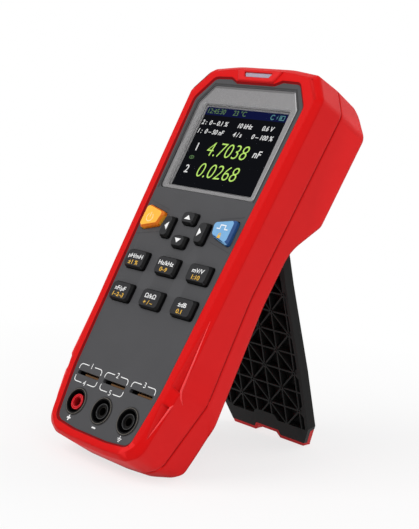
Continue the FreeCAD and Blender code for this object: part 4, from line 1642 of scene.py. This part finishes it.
@dataclass
class BatteryBay(Assembly):
    """Battery, its cover and the screws in the back."""

    case_screw_head: float = 2.7
    cover_screw_head: float = 1.5
    middle_y: float = -50.0
    cap: float = 0.25
    cap_share: float = 0.94
    arm_share: float = 0.62
    half_share: float = 0.15

    def dress(self) -> None:
        """Finishes the battery, cover and screws."""
        self.coat("battery_pack", BATTERY_WRAP)
        self.coat("battery_cover", SHELL_RED, soften=0.2)
        self.coat("battery_screws", SCREW_STEEL)
        self.coat("case_screws", SCREW_STEEL)

    def build(self) -> None:
        """Adds the cross in each screw head."""
        self.keep(self.crosses("case_screws", self.case_screw_head), SCREW_STEEL, slot="screw_steel")
        self.keep(self.crosses("battery_screws", self.cover_screw_head), SCREW_STEEL, slot="screw_steel")

    def heads(self, node: str) -> list[Vector]:
        """Finds the middle of each screw's head.

        Args:
            node: The screws.

        Returns:
            The middles, in millimetres of the face.
        """
        found: dict[tuple[bool, bool], list[Vector]] = {}
        for vertex in self.frame["nodes"][node].data.vertices:
            place = self.face.local(vertex.co)
            found.setdefault((place.x > 0, place.y > self.middle_y), []).append(place)
        middles = []
        for group in found.values():
            low, high = (Vector(pick(place[i] for place in group) for i in range(3)) for pick in (min, max))
            middles.append(Vector(((low.x + high.x) / 2, (low.y + high.y) / 2, low.z)))
        return middles

    def crosses(self, node: str, radius: float) -> bpy.types.Object:
        """Returns a plate with a cross-shaped opening on each head of a set of screws.

        Args:
            node: The screws.
            radius: Radius of their heads.

        Returns:
            The plates as one piece.
        """
        arm, half = self.arm_share * radius, self.half_share * radius
        quarter = [(arm, -half), (arm, half), (half, half)]
        turns = ((1, 0), (0, 1), (-1, 0), (0, -1))
        cross = [(x * cos - y * sin, x * sin + y * cos) for cos, sin in turns for x, y in quarter]
        plates = []
        for head in self.heads(node):
            pattern = Pattern()
            for (x0, y0), (x1, y1) in zip(cross, [*cross[1:], cross[0]]):
                start, end = math.degrees(math.atan2(y0, x0)), math.degrees(math.atan2(y1, x1))
                end += 360 if end < start else 0
                rim = arc(0.0, 0.0, self.cap_share * radius, end, start, steps=3)
                corners = [(x0, y0), (x1, y1), *rim]
                pattern.shape([(head.x + x, head.y + y) for x, y in corners])
            plates.append(pattern.raised("plate", self.face, head.z - self.cap, self.cap))
        return joined(node + "_crosses", plates)


@dataclass
class Kickstand(Assembly):
    """Ribbed stand with its rubber foot and pin."""

    open_degrees: float = 45.0
    width: float = 60.0
    wall: float = 2.0
    thick: float = 5.2
    rib_pitch: float = 10.2
    rib_start: float = 3.7
    rows: int = 10
    ring_inner: float = 0.6
    ring_outer: float = 1.1
    ring_rise: float = 0.3
    ring_sink: float = 0.05
    ring_steps: int = 20

    def leaf(self) -> FacePlane:
        """Returns the open leaf's middle plane, with its origin on the hinge."""
        hinge = next(joint for joint in self.frame["joints"] if joint["name"] == "stand_hinge")
        return self.face.turned(Vector(hinge["pos_m"]), self.open_degrees)

    def black(self) -> FacingLitPlastic:
        """Returns the leaf's finish: darkest on its ribbed front, with painted light on its sides and a
        painted highlight on the edges of its ribs.
        """
        return FacingLitPlastic("stand_black", srgb(11, 11, 11), 0.45, grain_mm=0.3, grain=0.3, cloud=0.06,
                             edge=3.0, gloss=0.1, side=srgb(24, 24, 23), out=tuple(self.leaf().out))

    def dress(self) -> None:
        """Finishes the stand, foot and pin."""
        self.coat("stand", self.black(), soften=0.15)
        self.coat("stand_foot", FOOT_RED, soften=0.3)
        self.coat("stand_pin", SCREW_STEEL)

    def build(self) -> None:
        """Adds a small ring on each hub of the ribs."""
        leaf = self.leaf()
        columns = int((self.width - 2 * self.wall) // self.rib_pitch)
        front = self.thick / 2
        low, high = front - self.ring_sink, front + self.ring_rise
        profile = [(self.ring_inner, low), (self.ring_outer, low), (self.ring_outer, high),
                   (self.ring_inner, high)]
        rings = []
        for i in range(columns + 1):
            for j in range(self.rows):
                if (i + j) % 2 == 0:
                    spot = ((i - columns / 2) * self.rib_pitch, -self.rib_start - j * self.rib_pitch)
                    rings.append(turned_ring("ring", leaf, spot, profile, self.ring_steps))
        self.keep(joined("stand_hub_rings", rings), self.black(), STAND, "stand_black")


@dataclass(frozen=True)
class Lamp:
    """A soft square lamp: where it hangs, the length of its side and its watts."""

    name: str
    place: Triple
    size: float
    power: float


@dataclass
class Studio:
    """Pale floor, soft light and the camera."""

    sky: float = 0.45
    lamps: tuple[Lamp, ...] = (
        Lamp("key", (-0.35, -0.9, 1.1), size=0.9, power=10.5),
        Lamp("fill", (1.1, -0.5, 0.7), size=0.8, power=4.6),
        Lamp("back", (0.3, 1.0, 0.9), size=0.9, power=4.0))
    lamp_aim: Triple = (0.0, 0.0, 0.1)
    floor_radius: float = 6.0
    floor_steps: int = 96
    floor_drop: float = 0.0002
    floor_colour: Colour = (0.86, 0.86, 0.86)
    floor_roughness: float = 0.9
    floor_gloss: float = 0.1
    fade_start: float = 0.05
    fade_end: float = 0.32
    fade_low: float = 0.72
    camera_place: Vector = field(default_factory=lambda: Vector((0.43920, -0.39295, 0.17437)))
    camera_look: Vector = field(default_factory=lambda: Vector((-0.73241, 0.66574, -0.14272)))
    camera_up: Vector = field(default_factory=lambda: Vector((-0.15575, 0.04024, 0.98698)))
    image_height: float = 529.0
    focal_pixels: float = 1269.2
    sensor: float = 36.0
    clip: float = 0.01

    def build(self) -> None:
        """Sets up the stage, lights and camera."""
        self.world()
        self.floor()
        for lamp in self.lamps:
            self.hang(lamp)
        self.camera()

    def sees_white(self, nodes: Nodes) -> bpy.types.NodeSocket:
        """Tells the rays that show the background as it is from those that light the object.

        Args:
            nodes: The tree that takes the new nodes.

        Returns:
            1 for the first kind and 0 for the second.
        """
        path = nodes.add("ShaderNodeLightPath")
        total = path.outputs["Is Camera Ray"]
        for name in ("Is Glossy Ray", "Is Transmission Ray"):
            node = nodes.add("ShaderNodeMath", operation="MAXIMUM")
            nodes.join(total, node.inputs[0])
            nodes.join(path.outputs[name], node.inputs[1])
            total = node.outputs["Value"]
        return total

    def world(self) -> None:
        """Makes the even light all round, and the white that the camera sees."""
        world = bpy.data.worlds.new("studio")
        bpy.context.scene.world = world
        world.use_nodes = True
        world.node_tree.nodes.clear()
        nodes = Nodes(world.node_tree)
        mix = nodes.add("ShaderNodeMixShader")
        nodes.join(self.sees_white(nodes), mix.inputs["Fac"])
        for socket, strength in zip(mix.inputs[1:], (self.sky, 1.0)):
            background = nodes.add("ShaderNodeBackground")
            background.inputs["Color"].default_value = WHITE
            background.inputs["Strength"].default_value = strength
            nodes.join(background.outputs["Background"], socket)
        nodes.join(mix.outputs["Shader"], nodes.add("ShaderNodeOutputWorld").inputs["Surface"])

    def floor(self) -> None:
        """Lays a pale round floor that fades into the white background."""
        radius = self.floor_radius
        angles = [2 * math.pi * i / self.floor_steps for i in range(self.floor_steps)]
        rim = [Vector((radius * math.cos(angle), radius * math.sin(angle), -self.floor_drop))
               for angle in angles]
        floor = new_piece("floor", rim, [list(range(self.floor_steps))])
        material = bpy.data.materials.new("floor_pale")
        material.use_nodes = True
        wiring = Wiring(material)
        wiring.put("Base Color", (*self.floor_colour, 1.0))
        wiring.put("Roughness", self.floor_roughness)
        wiring.put("Specular IOR Level", self.floor_gloss)
        length = wiring.add("ShaderNodeVectorMath", operation="LENGTH")
        wiring.join(wiring.place, length.inputs[0])
        fade = wiring.span(length.outputs["Value"], self.fade_low, 1.0, self.fade_start, self.fade_end)
        both = wiring.add("ShaderNodeMath", operation="MULTIPLY")
        wiring.join(fade, both.inputs[0])
        wiring.join(self.sees_white(wiring), both.inputs[1])
        mix = wiring.add("ShaderNodeMixShader")
        wiring.join(both.outputs["Value"], mix.inputs["Fac"])
        wiring.join(wiring.shader.outputs["BSDF"], mix.inputs[1])
        wiring.join(wiring.add("ShaderNodeEmission").outputs["Emission"], mix.inputs[2])
        wiring.join(mix.outputs["Shader"], wiring.tree.nodes["Material Output"].inputs["Surface"])
        floor.data.materials.append(material)

    def hang(self, lamp: Lamp) -> None:
        """Hangs a lamp that points at the object.

        Args:
            lamp: The lamp.
        """
        light = bpy.data.lights.new(lamp.name, "AREA")
        light.shape = "SQUARE"
        light.size = lamp.size
        light.energy = lamp.power
        holder = bpy.data.objects.new(lamp.name, light)
        holder.location = lamp.place
        look = Vector(self.lamp_aim) - Vector(lamp.place)
        holder.rotation_euler = look.to_track_quat("-Z", "Y").to_euler()
        bpy.context.scene.collection.objects.link(holder)

    def camera(self) -> None:
        """Sets the camera at the photograph's viewing angle."""
        data = bpy.data.cameras.new("camera")
        data.sensor_width = self.sensor
        data.lens = self.sensor * self.focal_pixels / self.image_height
        data.clip_start = self.clip
        camera = bpy.data.objects.new("camera", data)
        look = self.camera_look.normalized()
        right = look.cross(self.camera_up).normalized()
        turn = Matrix((right, right.cross(look), -look)).transposed().to_4x4()
        camera.matrix_world = Matrix.Translation(self.camera_place) @ turn
        bpy.context.scene.collection.objects.link(camera)
        bpy.context.scene.camera = camera


def face_of(frame: dict) -> FacePlane:
    """Finds the meter's face from the window's place and the way that the keys press.

    Args:
        frame: The loaded frame.

    Returns:
        The plane of the face, with its origin at the display's centre.
    """
    press = next(joint for joint in frame["joints"] if joint["name"] == "power_key_press")
    out = -Vector(press["axis"]).normalized()
    across = Vector((1.0, 0.0, 0.0))
    low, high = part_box("display_window")
    return FacePlane((low + high) / 2 + out * WINDOW_DEPTH * MM, across, out.cross(across), out)


ASSEMBLIES: tuple[type[Assembly], ...] = (
    CaseHalves, FacePanel, Display, Keypad, TestSlots, Sockets, Indicator, Inside, BatteryBay, Kickstand)


def main() -> None:
    """Builds and dresses each sub-assembly."""
    logging.basicConfig(level=logging.INFO, format="%(name)s: %(message)s")
    bpy.context.scene.view_settings.view_transform = "Standard"
    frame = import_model()
    face = face_of(frame)
    for kind in ASSEMBLIES:
        assembly = kind(frame, face)
        assembly.dress()
        assembly.build()
        LOG.info("%s done", kind.__name__)
    Studio().build()


if __name__ == "__main__":
    main()
